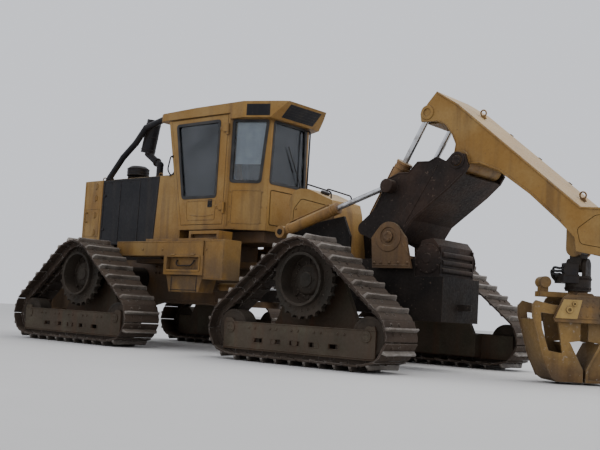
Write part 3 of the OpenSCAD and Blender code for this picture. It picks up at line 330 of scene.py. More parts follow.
# Noise of a scale per metre over a stretched place
def noise(tree, vector, scale, detail=4.0, stretch=(1, 1, 1)):
    spot = addNode(tree, "ShaderNodeMapping", {"Vector": vector, "Scale": stretch}).outputs[0]
    return addNode(tree, "ShaderNodeTexNoise", {"Vector": spot, "Scale": scale, "Detail": detail}).outputs[0]


# Noise faded in between two of its values
def patchy(tree, vector, scale, detail, low, high, stretch=(1, 1, 1)):
    return ranged(tree, noise(tree, vector, scale, detail, stretch), low, high)


# A shader's socket: its plain value, and the pattern linked over it
def feed(tree, socket, plain, pattern):
    socket.default_value = plain
    tree.links.new(pattern, socket)


def colour(red, green, blue):
    return (red, green, blue, 1.0)


# A new material, its nodes and its main shader
def blankMaterial(name):
    material = bpy.data.materials.new(name)
    material.use_nodes = True
    return material, material.node_tree, material.node_tree.nodes["Principled BSDF"]


# Patterns of the worn metal: noise scale, detail, where it fades in and is full, and its stretch
patterns = {
    "patches": (1.7, 6.0, 0.38, 0.66), "streaks": (5.0, 5.0, 0.47, 0.72, (1.6, 1.6, 0.16)),
    "mud": (3.1, 7.0, 0.3, 0.62), "edges": (11.0, 6.0, 0.40, 0.58),
    "fine": (38.0, 5.0), "chips": (27.0, 8.0), "dents": (4.5, 2.0),
    "cornerReach": 0.22, "reliefDepth": 0.012,    # metres
}


# Painted or bare metal: two shades in patches, mud low down, painted shade in corners and grime in streaks,
# dust and painted top light on upward faces, and worn edges, found where the rounded normal leaves the face's
# own
def wornMetal(name, look):
    material, tree, shader = blankMaterial(name)
    place = addNode(tree, "ShaderNodeTexCoord", {}).outputs["Object"]
    normal = addNode(tree, "ShaderNodeNewGeometry", {}).outputs["Normal"]
    rounded = addNode(tree, "ShaderNodeBevel", {"Radius": look["edgeWidth"]}, samples=4).outputs[0]
    fine = noise(tree, place, *patterns["fine"])
    height = addNode(tree, "ShaderNodeSeparateXYZ", {"Vector": place}).outputs["Z"]
    low = ranged(tree, height, look["mudFrom"], look["mudTo"], 1.0, 0.0)
    mud = times(tree, times(tree, low, patchy(tree, place, *patterns["mud"])), look["mud"])
    # Painted shade: ambient occlusion darkens corners, creases and gaps between parts, and the streaks are
    # mixed in with it into one dark colour
    reach = {"Distance": patterns["cornerReach"]}
    openness = addNode(tree, "ShaderNodeAmbientOcclusion", reach, samples=4).outputs["AO"]
    corner = ranged(tree, openness, 0.35, 0.95, 1.0, 0.0)
    streaks = patchy(tree, place, *patterns["streaks"])
    shadeAndGrime = plus(tree, times(tree, corner, look["corner"]), times(tree, streaks, look["streaks"]))
    # Dust and painted top light: faces that look up are paled towards the dust tint
    up = addNode(tree, "ShaderNodeSeparateXYZ", {"Vector": normal}).outputs["Z"]
    dust = times(tree, ranged(tree, up, 0.35, 0.95), look["dust"])
    turn = addNode(tree, "ShaderNodeVectorMath", {0: rounded, 1: normal}, operation="DOT_PRODUCT")
    bent = ranged(tree, turn.outputs["Value"], 0.80, 0.985, 1.0, 0.0)
    edge = times(tree, bent, patchy(tree, place, *patterns["edges"]))
    spare = 0.09 * look["chips"]
    chips = ranged(tree, noise(tree, place, *patterns["chips"]), 0.70 - spare, 0.76 - spare)
    worn = times(tree, plus(tree, edge, times(tree, chips, 0.6)), look["wear"])
    tint = mixed(tree, patchy(tree, place, *patterns["patches"]), look["base"], look["faded"])
    tint = mixed(tree, times(tree, fine, 0.35), tint, look["faded"], "MULTIPLY")
    for share, over in ((shadeAndGrime, "shadeAndGrime"), (dust, "dustAndTopLightTint"), (worn, "bare"), (mud, "mudTint")):
        tint = mixed(tree, share, tint, look[over])
    feed(tree, shader.inputs["Base Color"], look["base"], tint)
    rough = ranged(tree, fine, 0.3, 0.7, look["rough"] - 0.08, look["rough"] + 0.10)
    feed(tree, shader.inputs["Roughness"], look["rough"], plus(tree, rough, times(tree, mud, 0.3)))
    shader.inputs["Metallic"].default_value = look["metal"]
    shader.inputs["Specular IOR Level"].default_value = look["shine"]
    relief = plus(tree, times(tree, fine, 0.35), times(tree, mud, 0.6))
    relief = plus(tree, relief, times(tree, noise(tree, place, *patterns["dents"]), 0.25))
    depth = patterns["reliefDepth"]
    inputs = {"Strength": look["bump"], "Distance": depth, "Height": relief, "Normal": rounded}
    tree.links.new(addNode(tree, "ShaderNodeBump", inputs).outputs[0], shader.inputs["Normal"])
    return material

# Colours are linear, edge widths and mud heights are in metres, and the rest are shares; corner is how much
# painted shade darkens the corners, and dust is how much of the pale tint, both dust and painted top light,
# lies on upward faces
paintLook = {
    "base": colour(0.300, 0.160, 0.031), "faded": colour(0.360, 0.222, 0.068),
    "shadeAndGrime": colour(0.075, 0.040, 0.020), "dustAndTopLightTint": colour(0.60, 0.48, 0.30),
    "bare": colour(0.11, 0.055, 0.030), "mudTint": colour(0.085, 0.060, 0.040),
    "edgeWidth": 0.010, "mudFrom": 0.75, "mudTo": 1.75, "mud": 0.85, "corner": 0.65, "streaks": 0.42,
    "dust": 0.45, "wear": 0.75, "chips": 0.4, "rough": 0.52, "metal": 0.0, "bump": 0.35, "shine": 0.35,
}
oldPaintLook = {
    **paintLook, "base": colour(0.205, 0.108, 0.034), "faded": colour(0.125, 0.075, 0.040), "streaks": 0.65,
    "corner": 0.85, "wear": 0.9, "chips": 1.0, "mudFrom": 0.6, "mudTo": 2.2,
}
palePaintLook = {**paintLook, "base": colour(0.52, 0.35, 0.11), "faded": colour(0.62, 0.45, 0.18), "mud": 0.3}
cylinderLook = {**paintLook, "streaks": 0.5, "corner": 0.8, "faded": colour(0.31, 0.17, 0.058)}
blackPaintLook = {
    **paintLook, "base": colour(0.010, 0.010, 0.013), "faded": colour(0.022, 0.021, 0.023),
    "shadeAndGrime": colour(0.05, 0.04, 0.03), "dustAndTopLightTint": colour(0.10, 0.09, 0.08), "bare": colour(0.13, 0.09, 0.07),
    "wear": 0.45, "rough": 0.42, "streaks": 0.25, "mud": 0.4, "dust": 0.3, "shine": 0.18,
}
trackLook = {
    **paintLook, "base": colour(0.040, 0.027, 0.020), "faded": colour(0.088, 0.060, 0.044),
    "shadeAndGrime": colour(0.035, 0.027, 0.021), "dustAndTopLightTint": colour(0.16, 0.13, 0.10),
    "bare": colour(0.52, 0.49, 0.45), "mudTint": colour(0.075, 0.056, 0.042),
    "edgeWidth": 0.007, "mudFrom": 0.2, "mudTo": 1.6, "mud": 0.55,
    "wear": 0.85, "chips": 0.0, "rough": 0.60, "metal": 0.25, "dust": 0.4, "bump": 0.6, "shine": 0.2,
}
lugLook = {
    **trackLook, "base": colour(0.17, 0.140, 0.115), "faded": colour(0.34, 0.31, 0.275),
    "bare": colour(0.66, 0.64, 0.60), "edgeWidth": 0.014, "wear": 1.0, "mud": 0.25, "metal": 0.35,
    "rough": 0.45, "shine": 0.4,
}
guardLook = {
    **trackLook, "base": colour(0.056, 0.048, 0.032), "faded": colour(0.108, 0.094, 0.066),
    "shadeAndGrime": colour(0.09, 0.04, 0.02), "bare": colour(0.20, 0.15, 0.11), "metal": 0.0, "rough": 0.72,
    "wear": 0.6, "streaks": 0.45, "mud": 0.65,
}
sprocketLook = {
    **guardLook, "base": colour(0.018, 0.016, 0.012), "faded": colour(0.042, 0.037, 0.029),
    "shadeAndGrime": colour(0.03, 0.022, 0.016), "bare": colour(0.22, 0.19, 0.16), "edgeWidth": 0.006, "corner": 0.9,
}
darkSteelLook = {
    **trackLook, "base": colour(0.020, 0.014, 0.012), "faded": colour(0.055, 0.032, 0.022),
    "shadeAndGrime": colour(0.02, 0.016, 0.014), "bare": colour(0.17, 0.12, 0.09),
    "mudTint": colour(0.035, 0.026, 0.020), "metal": 0.1, "wear": 0.6, "chips": 0.6,
}
tongLook = {
    **trackLook, "base": colour(0.31, 0.190, 0.064), "faded": colour(0.13, 0.075, 0.038),
    "shadeAndGrime": colour(0.06, 0.035, 0.02), "bare": colour(0.34, 0.30, 0.25),
    "mudTint": colour(0.13, 0.095, 0.06), "metal": 0.15, "wear": 0.9, "chips": 0.8,
}
# Painted shade: near-black steel for the rear frame, axles and engine block, which sit in shadow under the
# machine
shadedUndersideLook = {
    **darkSteelLook, "base": colour(0.009, 0.007, 0.006), "faded": colour(0.022, 0.016, 0.012), "mud": 0.6,
}
paint = wornMetal("ochre paint", paintLook)
oldPaint = wornMetal("old ochre paint", oldPaintLook)
palePaint = wornMetal("pale ochre paint", palePaintLook)
cylinderPaint = wornMetal("cylinder paint", cylinderLook)
blackPaint = wornMetal("black paint", blackPaintLook)
trackSteel = wornMetal("track steel", trackLook)
lugSteel = wornMetal("lug steel", lugLook)
guardSteel = wornMetal("guard steel", guardLook)
sprocketSteel = wornMetal("sprocket steel", sprocketLook)
darkSteel = wornMetal("dark steel", darkSteelLook)
tongSteel = wornMetal("tong steel", tongLook)
shadedUndersideSteel = wornMetal("shaded underside steel", shadedUndersideLook)

chromeLook = {"base": colour(0.62, 0.63, 0.65), "oily": colour(0.33, 0.31, 0.29), "rough": 0.20}


# Polished rod: bright metal, dulled by an oil film in bands along its length
def rodMaterial(look):
    material, tree, shader = blankMaterial("rod chrome")
    place = addNode(tree, "ShaderNodeTexCoord", {}).outputs["Object"]
    film = patchy(tree, place, 9.0, 5.0, 0.42, 0.70)
    tree.links.new(mixed(tree, film, look["base"], look["oily"]), shader.inputs["Base Color"])
    shader.inputs["Metallic"].default_value = 0.9
    rough = ranged(tree, film, 0.0, 1.0, look["rough"], look["rough"] + 0.3)
    tree.links.new(rough, shader.inputs["Roughness"])
    return material


glassLook = {"tint": colour(0.86, 0.90, 0.92), "dirt": colour(0.36, 0.36, 0.36), "haze": 0.08}


# Dusty tinted glass: clear and mirror-like, with a film of dust that is thicker in patches
def glassMaterial(look):
    material, tree, shader = blankMaterial("cab glass")
    place = addNode(tree, "ShaderNodeTexCoord", {}).outputs["Object"]
    clear = addNode(tree, "ShaderNodeBsdfTransparent", {"Color": look["tint"]}).outputs[0]
    mirror = {"Color": colour(0.85, 0.88, 0.92), "Roughness": 0.06}
    gloss = addNode(tree, "ShaderNodeBsdfGlossy", mirror).outputs[0]
    edge = addNode(tree, "ShaderNodeFresnel", {"IOR": 1.6}).outputs[0]
    pane = addNode(tree, "ShaderNodeMixShader", {0: edge, 1: clear, 2: gloss}).outputs[0]
    dust = addNode(tree, "ShaderNodeBsdfDiffuse", {"Color": look["dirt"]}).outputs[0]
    film = times(tree, patchy(tree, place, 3.0, 6.0, 0.25, 0.75), look["haze"])
    dusty = addNode(tree, "ShaderNodeMixShader", {0: film, 1: pane, 2: dust}).outputs[0]
    shader.inputs["Base Color"].default_value = look["tint"]
    tree.links.new(dusty, tree.nodes["Material Output"].inputs["Surface"])
    return material


# Rubber, plastic and cloth: one shade with patches of another, grain as relief
def softMaterial(name, base, faded, grainScale, roughness):
    material, tree, shader = blankMaterial(name)
    place = addNode(tree, "ShaderNodeTexCoord", {}).outputs["Object"]
    patches = patchy(tree, place, 6.0, 6.0, 0.35, 0.70)
    grain = noise(tree, place, grainScale, 2.0)
    feed(tree, shader.inputs["Base Color"], base, mixed(tree, patches, base, faded))
    rough = ranged(tree, grain, 0.2, 0.8, roughness - 0.1, roughness + 0.1)
    tree.links.new(rough, shader.inputs["Roughness"])
    bump = addNode(tree, "ShaderNodeBump", {"Strength": 0.4, "Distance": 0.003, "Height": grain})
    tree.links.new(bump.outputs[0], shader.inputs["Normal"])
    return material

# Each finish's shade, faded shade, grain per metre and roughness
softLooks = {
    "rubber": (colour(0.012, 0.012, 0.013), colour(0.040, 0.036, 0.032), 120.0, 0.62),
    "plastic": (colour(0.030, 0.031, 0.034), colour(0.055, 0.054, 0.052), 240.0, 0.50),
    "seat cloth": (colour(0.022, 0.023, 0.027), colour(0.060, 0.058, 0.056), 600.0, 0.85),
    # Pale cloth of the rear blinds, which also paints the sky's pale reflection in the rear glass
    "reflection blind cloth": (colour(0.40, 0.41, 0.43), colour(0.52, 0.52, 0.52), 300.0, 0.8),
}
rodChrome = rodMaterial(chromeLook)
cabGlass = glassMaterial(glassLook)
rubber, plastic, cloth, reflectionBlindCloth = [softMaterial(name, *look) for name, look in softLooks.items()]

lampLook = {"lens": colour(0.75, 0.77, 0.80), "ribs": 260.0}


# Lamp lens: pale glass over fine upright ribs
def lensMaterial(look):
    material, tree, shader = blankMaterial("lamp lens")
    place = addNode(tree, "ShaderNodeTexCoord", {}).outputs["Object"]
    waves = {"Vector": place, "Scale": look["ribs"] / 6}
    ribs = addNode(tree, "ShaderNodeTexWave", waves, bands_direction="Y")
    bump = addNode(tree, "ShaderNodeBump", {"Strength": 0.5, "Distance": 0.002, "Height": ribs.outputs[1]})
    shade = ranged(tree, noise(tree, place, 20.0), 0.3, 0.8)
    tint = mixed(tree, shade, look["lens"], colour(0.50, 0.48, 0.44))
    tree.links.new(tint, shader.inputs["Base Color"])
    tree.links.new(bump.outputs[0], shader.inputs["Normal"])
    shader.inputs["Roughness"].default_value = 0.18
    return material


lens = lensMaterial(lampLook)

finishes = {
    paint: ["radiator_panel", "hood", "cab_cowl", "cab_front_wall", "cab_side_walls", "cab_rear_walls",
            "cab_roof", "cab_door", "left_side_box", "right_side_box", "rear_deck", "boom", "grapple_head"],
    oldPaint: ["front_frame", "tower_plates", "blade"],
    cylinderPaint: ["arch_barrels", "boom_barrels", "blade_barrels", "left_steer_barrel",
                    "right_steer_barrel"],
    blackPaint: ["engine_side_panels", "pre_cleaner", "exhaust", "limb_risers", "roof_vents",
                 "radiator_grille", "swing_link", "rotator"],
    trackSteel: ["front_left_track", "front_right_track", "rear_left_track", "rear_right_track"],
    guardSteel: ["front_roller_frames", "rear_roller_frames"],
    sprocketSteel: ["front_sprockets", "rear_sprockets", "front_rollers", "rear_rollers"],
    darkSteel: ["arch", "winch_box"],
    # Painted shade: these parts under the machine are coloured near black for the shadow they sit in
    shadedUndersideSteel: ["rear_frame", "front_axle", "rear_axle", "engine_block"],
    tongSteel: ["left_tong", "right_tong"],
    rodChrome: ["arch_rods", "boom_rods", "blade_rods", "left_steer_rod", "right_steer_rod"],
    cabGlass: ["cab_windows", "door_glass"],
    plastic: ["console", "seat"],
    rubber: ["cab_floor"],
}
for material, names in finishes.items():
    for name in names:
        mesh = frame["nodes"][name].data
        mesh.materials.clear()
        mesh.materials.append(material)
print("materials made")

# Track chains
loop = {
    "top": 514.0, "end": 360.0, "reach": 947.0,   # radii under the lug tips at the sprocket and the idlers
    "lug": 55.0, "plate": 22.0, "rail": 75.0,     # heights from the lug tips inwards
    "linkHalf": 0.47,                             # a link's half length as a share of the pitch
    "shoes": 29, "wide": 567.0, "outY": 1667.0, "chainY": 1469.5, "railStep": 66.0, "railWide": 48.0,
}
lineIn = loop["lug"] + loop["plate"] + loop["rail"] / 2
topLine, endLine = loop["top"] - lineIn, loop["end"] - lineIn
slopeLength = math.hypot(loop["reach"], axleZ - loop["end"])
slopeTurn = math.acos((loop["top"] - loop["end"]) / slopeLength)
slopeTurn -= math.atan2(axleZ - loop["end"], loop["reach"])
slopeRun = math.sqrt(slopeLength ** 2 - (loop["top"] - loop["end"]) ** 2)
topRun = topLine * (math.pi / 2 - slopeTurn)
endRun = endLine * (math.pi / 2 + slopeTurn)
halfLoop = topRun + slopeRun + endRun + loop["reach"]
pitch = 2 * halfLoop / loop["shoes"]


# Point of the track's line at run s from the top, out by t: over the sprocket's arc, down the straight slope,
# round the idler's arc and back level; the other half is its mirror image
def loopPoint(s, t):
    s, t = np.broadcast_arrays(np.asarray(s, float) % (2 * halfLoop), np.asarray(t, float))
    flip = s > halfLoop
    u = np.where(flip, 2 * halfLoop - s, s)
    first = math.pi / 2 - u / topLine
    last = slopeTurn - (u - topRun - slopeRun) / endLine
    over = u - topRun
    x = np.select([u < topRun, u < topRun + slopeRun, u < halfLoop - loop["reach"]],
                  [(topLine + t) * np.cos(first),
                   (topLine + t) * math.cos(slopeTurn) + over * math.sin(slopeTurn),
                   loop["reach"] + (endLine + t) * np.cos(last)], halfLoop - u)
    z = np.select([u < topRun, u < topRun + slopeRun, u < halfLoop - loop["reach"]],
                  [axleZ + (topLine + t) * np.sin(first),
                   axleZ + (topLine + t) * math.sin(slopeTurn) - over * math.cos(slopeTurn),
                   loop["end"] + (endLine + t) * np.sin(last)], loop["end"] - endLine - t)
    return np.stack([np.where(flip, -x, x), z], -1)


# Frames of the shoes: origin, run and outward directions of the chord under each plate
def shoeFrames():
    s = (np.arange(loop["shoes"]) + 0.5) * pitch
    half, out = loop["linkHalf"] * pitch, loop["rail"] / 2
    start, end = loopPoint(s - half, out), loopPoint(s + half, out)
    along = (end - start) / np.linalg.norm(end - start, axis=1, keepdims=True)
    out = np.stack([-along[:, 1], along[:, 0]], 1)
    matrices = np.zeros((loop["shoes"], 4, 4))
    matrices[:, [0, 2], 0] = along
    matrices[:, 1, 1] = 1
    matrices[:, [0, 2], 2] = out
    matrices[:, [0, 2], 3] = (start + end) / 2
    matrices[:, 3, 3] = 1
    return matrices


shoe = {
    "length": 196.0, "lugRoot": 46.0, "lugTip": 18.0, "notch": 70.0, "boltAt": 52.0, "boltRadius": 15.0,
    "pin": 25.0, "pinOut": 93.0,
    "lip": 14.0, "reach": 22.0,    # how far the leading lip is bent in, and goes under the next shoe
}


# One shoe: a plate with its leading lip bent in, and four bolts
def shoeShapes(values):
    half, plate = values["length"] / 2, loop["plate"]
    y0, y1 = loop["outY"] - loop["wide"], loop["outY"]
    lip, tip = values["lip"], -half - values["reach"]
    flat = [(tip, -lip), (tip + 4, plate - lip - 4), (-half + 24, plate), (half, plate),
            (half, 4), (half - 12, 0), (-half + 22, 0)]
    shapes = [slab(flat, "xz", y0, y1)]
    along, across = values["boltAt"], loop["railStep"]
    spots = [(a * along, loop["chainY"] + b * across, plate) for a in (-1, 1) for b in (-1, 1)]
    return shapes + [bolts(spots, values["boltRadius"], (0, 0, 1))]


# A shoe's tapered lug, whose ends slope down and whose bare tip is worn hollow in the middle
def lugShape(values):
    plate = loop["plate"]
    y0, y1 = loop["outY"] - loop["wide"], loop["outY"]
    root, tip, top = values["lugRoot"] / 2, values["lugTip"] / 2, plate + loop["lug"]
    ring = np.array([(-root, 0, plate - 2), (root, 0, plate - 2), (tip, 0, top), (-tip, 0, top)], float)
    ends = [(y0 + 4, 0.45), (y0 + values["notch"] * 0.4, 1), (y0 + 0.5 * loop["wide"], 0.88),
            (y1 - values["notch"] * 0.4, 1), (y1 - 4, 0.45)]
    rings = []
    for y, share in ends:
        low = ring.copy()
        low[:, 1] = y
        low[2:, 2] = plate + loop["lug"] * share
        rings.append(low)
    return loft(rings)


# One link's side: outer edge under the shoe, inner edge waisted between the pins, bent along the track's line
def linkRail(s, y0, y1):
    ahead = [0.20, 0.30, 0.41, loop["linkHalf"], loop["linkHalf"]]
    run = np.array([-share for share in ahead[::-1]] + ahead) * pitch
    out = np.array([0.48, -0.30, -0.44, -0.49, -0.40, -0.40, -0.49, -0.44, -0.30, 0.48]) * loop["rail"]
    flat = loopPoint(s + run, out)
    return slab(flat, "xz", y0, y1)


# A whole chain: shoes spread over their frames, two rows of links and the pins between them
def trackChain(values):
    frames = shoeFrames()
    shapes = [spread(shape, frames) for shape in shoeShapes(values)]
    half = loop["railWide"] / 2
    for k in range(loop["shoes"]):
        for side in (-1, 1):
            y = loop["chainY"] + side * loop["railStep"]
            shapes.append(linkRail((k + 0.5) * pitch, y - half, y + half))
    ends = loopPoint(np.arange(loop["shoes"]) * pitch, 0.0)
    radius, reach = values["pin"], values["pinOut"]
    pin = [(radius * 0.5, -reach), (radius, -reach + 2), (radius, reach - 2), (radius * 0.5, reach)]
    spots = np.stack([ends[:, 0], np.full(len(ends), loop["chainY"]), ends[:, 1]], 1)
    shapes.append(stood(pin, spots, (0, 1, 0), 12))
    return shapes


# A shape moved by a step
def moved(shape, by):
    return shape[0] + np.asarray(by, float), shape[1]


def makeTracks():
    chain = trackChain(shoe)
    lugs = spread(lugShape(shoe), shoeFrames())
    for end, sign in (("front", 1), ("rear", -1)):
        for side in ("left", "right"):
            shapes = [moved(shape, (sign * axleX, 0, 0)) for shape in chain]
            tips = moved(lugs, (sign * axleX, 0, 0))
            if side == "right":
                shapes, tips = [mirrored(shape) for shape in shapes], mirrored(tips)
            name = f"{end}_{side}_track"
            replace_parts(piece(name + "_links", shapes, name, trackSteel, 2.5), name)
            piece(name + "_lugs", [tips], name, lugSteel, 4.0)


makeTracks()
print("tracks made")

# Sprocket hubs, guards and wheels; depths are from the machine's middle
hub = {
    "dishFloor": 1380.5, "rimFace": 1500.5, "lip": 1559.5, "lipRadius": 266.0, "lipWide": 24.0,
    "cover": 150.0,
    "rimBolts": 24, "rimBoltRadius": 336.0, "floorBolts": 20, "coverBolts": 6, "ribs": 8, "ribEnd": 252.0,
}
guard = {
    "face": 1590.5, "low": 122.0, "high": 422.0, "half": 1057.0, "slotZ": 235.0, "slotStep": 266.0,
    "slotHalf": 66.0, "slotRise": 24.0, "pinAt": 947.0, "boltZ": 370.0, "rollerStep": 311.0,
}
idlerFace = {
    "depth": 88.0, "steps": [(205, 0), (205, 4), (178, 5), (172, 0.6), (92, 0.6), (86, 5), (42, 5), (42, 0)],
}


# Cover of a final drive inside the dish, with its ribs and bolt rings, and the bead round the dish's lip
def hubShapes(x, values):
    r, floor, lip = values["cover"], values["dishFloor"], values["lip"]
    steps = [(62, -2), (62, 12), (22, 14), (8, 46), (-14, 60), (-64, 68), (-70, 84)]
    cover = [(r + wide, floor + high) for wide, high in steps] + [(24, floor + 86)]
    near, far = values["lipRadius"], values["lipRadius"] + values["lipWide"]
    bead = [(near, lip - 1), (far, lip - 1), (far + 1, lip + 4), (near - 1, lip + 4)]
    shapes = [disc(cover, x, axleZ), disc(bead, x, axleZ, 72, True)]
    rings = [(floor + 13, r + 42, values["floorBolts"], 11), (floor + 68, r - 46, values["coverBolts"], 9),
             (values["rimFace"], values["rimBoltRadius"], values["rimBolts"], 13)]
    for depth, radius, count, size in rings:
        shapes.append(bolts(boltCircle(x, axleZ, depth, radius, count), size))
    for turn in np.arange(values["ribs"]) * 2 * math.pi / values["ribs"]:
        across, up = (-math.sin(turn), 0, math.cos(turn)), (math.cos(turn), 0, math.sin(turn))
        flat = rectangle(-6, 6, r - 4, values["ribEnd"])
        places = [(x, depth, axleZ) for depth in (floor, floor + 26)]
        shapes.append(loft([onPlane(flat, 0, place, across, up) for place in places]))
    return shapes


# Guard's outer face: pin caps, a top lip with an ear at each end, a weld seam, roller bolts and framed slots
def guardShapes(x, values):
    y, half, low, high = values["face"], values["half"], values["low"], values["high"]
    shapes = [block((x - half, y - 24, high - 1), (x + half, y + 6, high + 9)),
              pipe([(x + s * (half - 8), y + 1, low + 22) for s in (-1, 1)], 7, 6)]
    for s in (-1, 1):
        pin = x + s * values["pinAt"]
        shapes.append(disc([(58, y - 1), (58, y + 9), (50, y + 13), (12, y + 14)], pin, loop["end"], 32))
        shapes.append(bolts(boltCircle(pin, loop["end"], y + 12, 34, 4, 0.5), 9))
        ear = [(x + s * (half - back), high + rise) for back, rise in ((2, 4), (150, 4), (110, 46), (20, 46))]
        shapes.append(slab(ear, "xz", y - 23, y - 3))
    for k in range(-2, 3):
        roller, slot = x + k * values["rollerStep"], x + k * values["slotStep"]
        shapes.append(bolts([(roller + s * 45, y, values["boltZ"]) for s in (-1, 1)], 13))
        hole = rectangle(slot - values["slotHalf"], slot + values["slotHalf"],
                         values["slotZ"] - values["slotRise"], values["slotZ"] + values["slotRise"])
        shapes.append(frameRing(hole, (7, -1), 2, -3, sidePlane(y + 1)))
    return shapes


# Rims and hubs of the idlers, a ring on each side of the wheel
def idlerShapes(x, values):
    shapes = []
    for s in (-1, 1):
        for d in (-1, 1):
            y = loop["chainY"] + d * values["depth"]
            profile = [(radius, y + d * rise) for radius, rise in values["steps"]]
            shapes.append(disc(profile, x + s * guard["pinAt"], loop["end"], 48, True))
    return shapes


def makeRunningGear():
    for end, sign in (("front", 1), ("rear", -1)):
        x, node = sign * axleX, end + "_sprockets"
        piece(end + "_hub_covers", bothSides(hubShapes(x, hub)), node, sprocketSteel, 2.5)
        piece(end + "_guard_fittings", bothSides(guardShapes(x, guard)), node, guardSteel, 2.0)
        piece(end + "_idler_faces", bothSides(idlerShapes(x, idlerFace)), node, sprocketSteel, 1.5)


makeRunningGear()
print("running gear made")

# Engine end
bay = {
    "face": 596.0, "top": 2385.0, "ledge": 1410.0, "front": 2799.0, "rearLow": 1580.0, "rearHigh": 1520.0,
    "strip": 26.0, "seams": (1950, 2390), "latchX": 2740.0, "latchRadius": 22.0, "latches": (1640, 2150),
    "studZ": 2330.0, "studs": (1780, 2170, 2600),
}
nose = {
    "face": 600.0, "hingeX": 2962.0, "hinges": (1340, 1600, 1860, 2120, 2300), "low": 1250.0, "high": 2372.0,
    "seams": ((2806, 2836), (3208, 3236)), "lid": (2860, 3180, 1540, 1950), "handleX": 3140.0,
    "handleLow": 1760.0, "handleHigh": 1900.0,
}
grille = {
    "first": 30.0, "step": 38.0, "margin": 12.0, "bars": 5, "louvre": [(-14, 0), (3, -8), (3, -3), (-14, 6)],
}
hood = {"top": 2417.0, "seams": (1980, 2790), "eyeX": (1700, 3000), "eyeY": 430.0}
cleaner = {"bands": (66, 112, 160), "fins": 24}
muffler = {
    "foot": (2070, 400, 2785), "tip": (1965, 400, 3270), "bands": ((0.10, 108), (0.86, 108), (0.48, 107)),
    "joint": ((1830, 400, 2629), (1850, 400, 2642)),
}


# Black side panels: border strip, seams, latches and studs
def bayShapes(values):
    y, low, high, front = values["face"], values["ledge"] + 10, values["top"] - 8, values["front"] - 6
    outline = [(values["rearLow"] + 8, low), (front, low), (front, high), (values["rearHigh"] + 8, high)]
    shapes = [frameRing(outline, (0, values["strip"]), 1, -5, sidePlane(y))]
    for x in values["seams"]:
        shapes.append(block((x - 9, y - 1, low + 24), (x + 9, y + 4, high - 26)))
    x, radius = values["latchX"], values["latchRadius"]
    for z in values["latches"]:
        shapes.append(disc([(radius, y), (radius, y + 7), (10, y + 9)], x, z, 20))
        shapes.append(block((x - 28, y + 4, z - 8), (x + 28, y + 11, z + 8)))
    for x in values["studs"]:
        shapes.append(disc([(9, y), (9, y + 6), (4, y + 7)], x, values["studZ"], 12))
    return shapes


# Radiator panel: hinges, seams, and a small lid with its pull handle
def noseShapes(values):
    y, x = values["face"], values["hingeX"]
    shapes = []
    for z in values["hinges"]:
        shapes.append(turned([(13, z - 45), (13, z + 45)], (x, y + 2, 0), "z", 12))
        shapes.append(block((x - 37, y - 1, z - 34), (x + 37, y + 5, z + 34)))
    for x0, x1 in values["seams"]:
        shapes.append(block((x0, y - 1, values["low"]), (x1, y + 4, values["high"])))
    shapes.append(frameRing(rectangle(*values["lid"]), (6, 2), 1, -3, sidePlane(y)))
    x, low, high = values["handleX"], values["handleLow"], values["handleHigh"]
    handle = [(x, y, low), (x, y + 48, low), (x, y + 48, high), (x, y, high)]
    return shapes + [pipe(eased(handle, 20), 8, 10)]


# Front grille: sloping louvres and the upright bars before them
def grilleShapes(values):
    low, high = boxOf("radiator_grille")
    x, margin = high[0], values["margin"]
    shapes = []
    for z in np.arange(low[2] + values["first"], high[2] - 20, values["step"]):
        louvre = [(x + out, z + rise) for out, rise in values["louvre"]]
        shapes.append(slab(louvre, "xz", low[1] + margin, high[1] - margin))
    for y in np.linspace(low[1] + margin, high[1] - margin - 8, values["bars"]):
        shapes.append(block((x - 10, y, low[2] + 10), (x + 6, y + 8, high[2] - 10)))
    return shapes


# Hood: seams across it and four lifting eyes
def hoodShapes(values):
    top = values["top"]
    shapes = [block((x - 5, -470, top - 1), (x + 5, 470, top + 3)) for x in values["seams"]]
    for x in values["eyeX"]:
        for y in (-values["eyeY"], values["eyeY"]):
            ring = [(x - 34, y, top - 4), (x - 34, y, top + 44), (x + 34, y, top + 44), (x + 34, y, top - 4)]
            shapes.append(pipe(eased(ring, 26), 9, 10))
    return shapes


# Pre-cleaner: bands round the bowl, and fins below it turned about its axis by the rotation matrix
def cleanerShapes(values):
    low, high = boxOf("pre_cleaner")
    x, y = (low[:2] + high[:2]) / 2
    r = (high[0] - low[0]) / 2
    shapes = []
    for rise in values["bands"]:
        z = low[2] + rise
        band = [(r - 3, z - 6), (r + 4, z - 4), (r + 4, z + 4), (r - 3, z + 6)]
        shapes.append(turned(band, (x, y, 0), "z"))
    angle = np.arange(values["fins"]) * 2 * math.pi / values["fins"]
    turns = np.zeros((values["fins"], 4, 4))
    turns[:, 0, 0] = turns[:, 1, 1] = np.cos(angle)
    turns[:, 0, 1], turns[:, 1, 0] = -np.sin(angle), np.sin(angle)
    turns[:, 2, 2] = turns[:, 3, 3] = 1
    turns[:, :3, 3] = (x, y, low[2])
    return shapes + [spread(block((-3, r * 0.55 - 4, 4), (3, r - 12, 50)), turns)]


# Bands round the muffler, the lip of its outlet and the sleeve on the exhaust pipe
def bandShapes(values):
    foot, tip = np.array(values["foot"], float), np.array(values["tip"], float)
    way = (tip - foot) / np.linalg.norm(tip - foot)
    shapes = []
    for share, radius in values["bands"]:
        ring = [(radius - 6, -9), (radius + 2, -8), (radius + 2, 8), (radius - 6, 9)]
        shapes.append(stood(ring, [foot + (tip - foot) * share], way, 40))
    return shapes + [pipe([tip - way * 30, tip + way * 4], [62, 60], 28), pipe(values["joint"], 66, 24)]


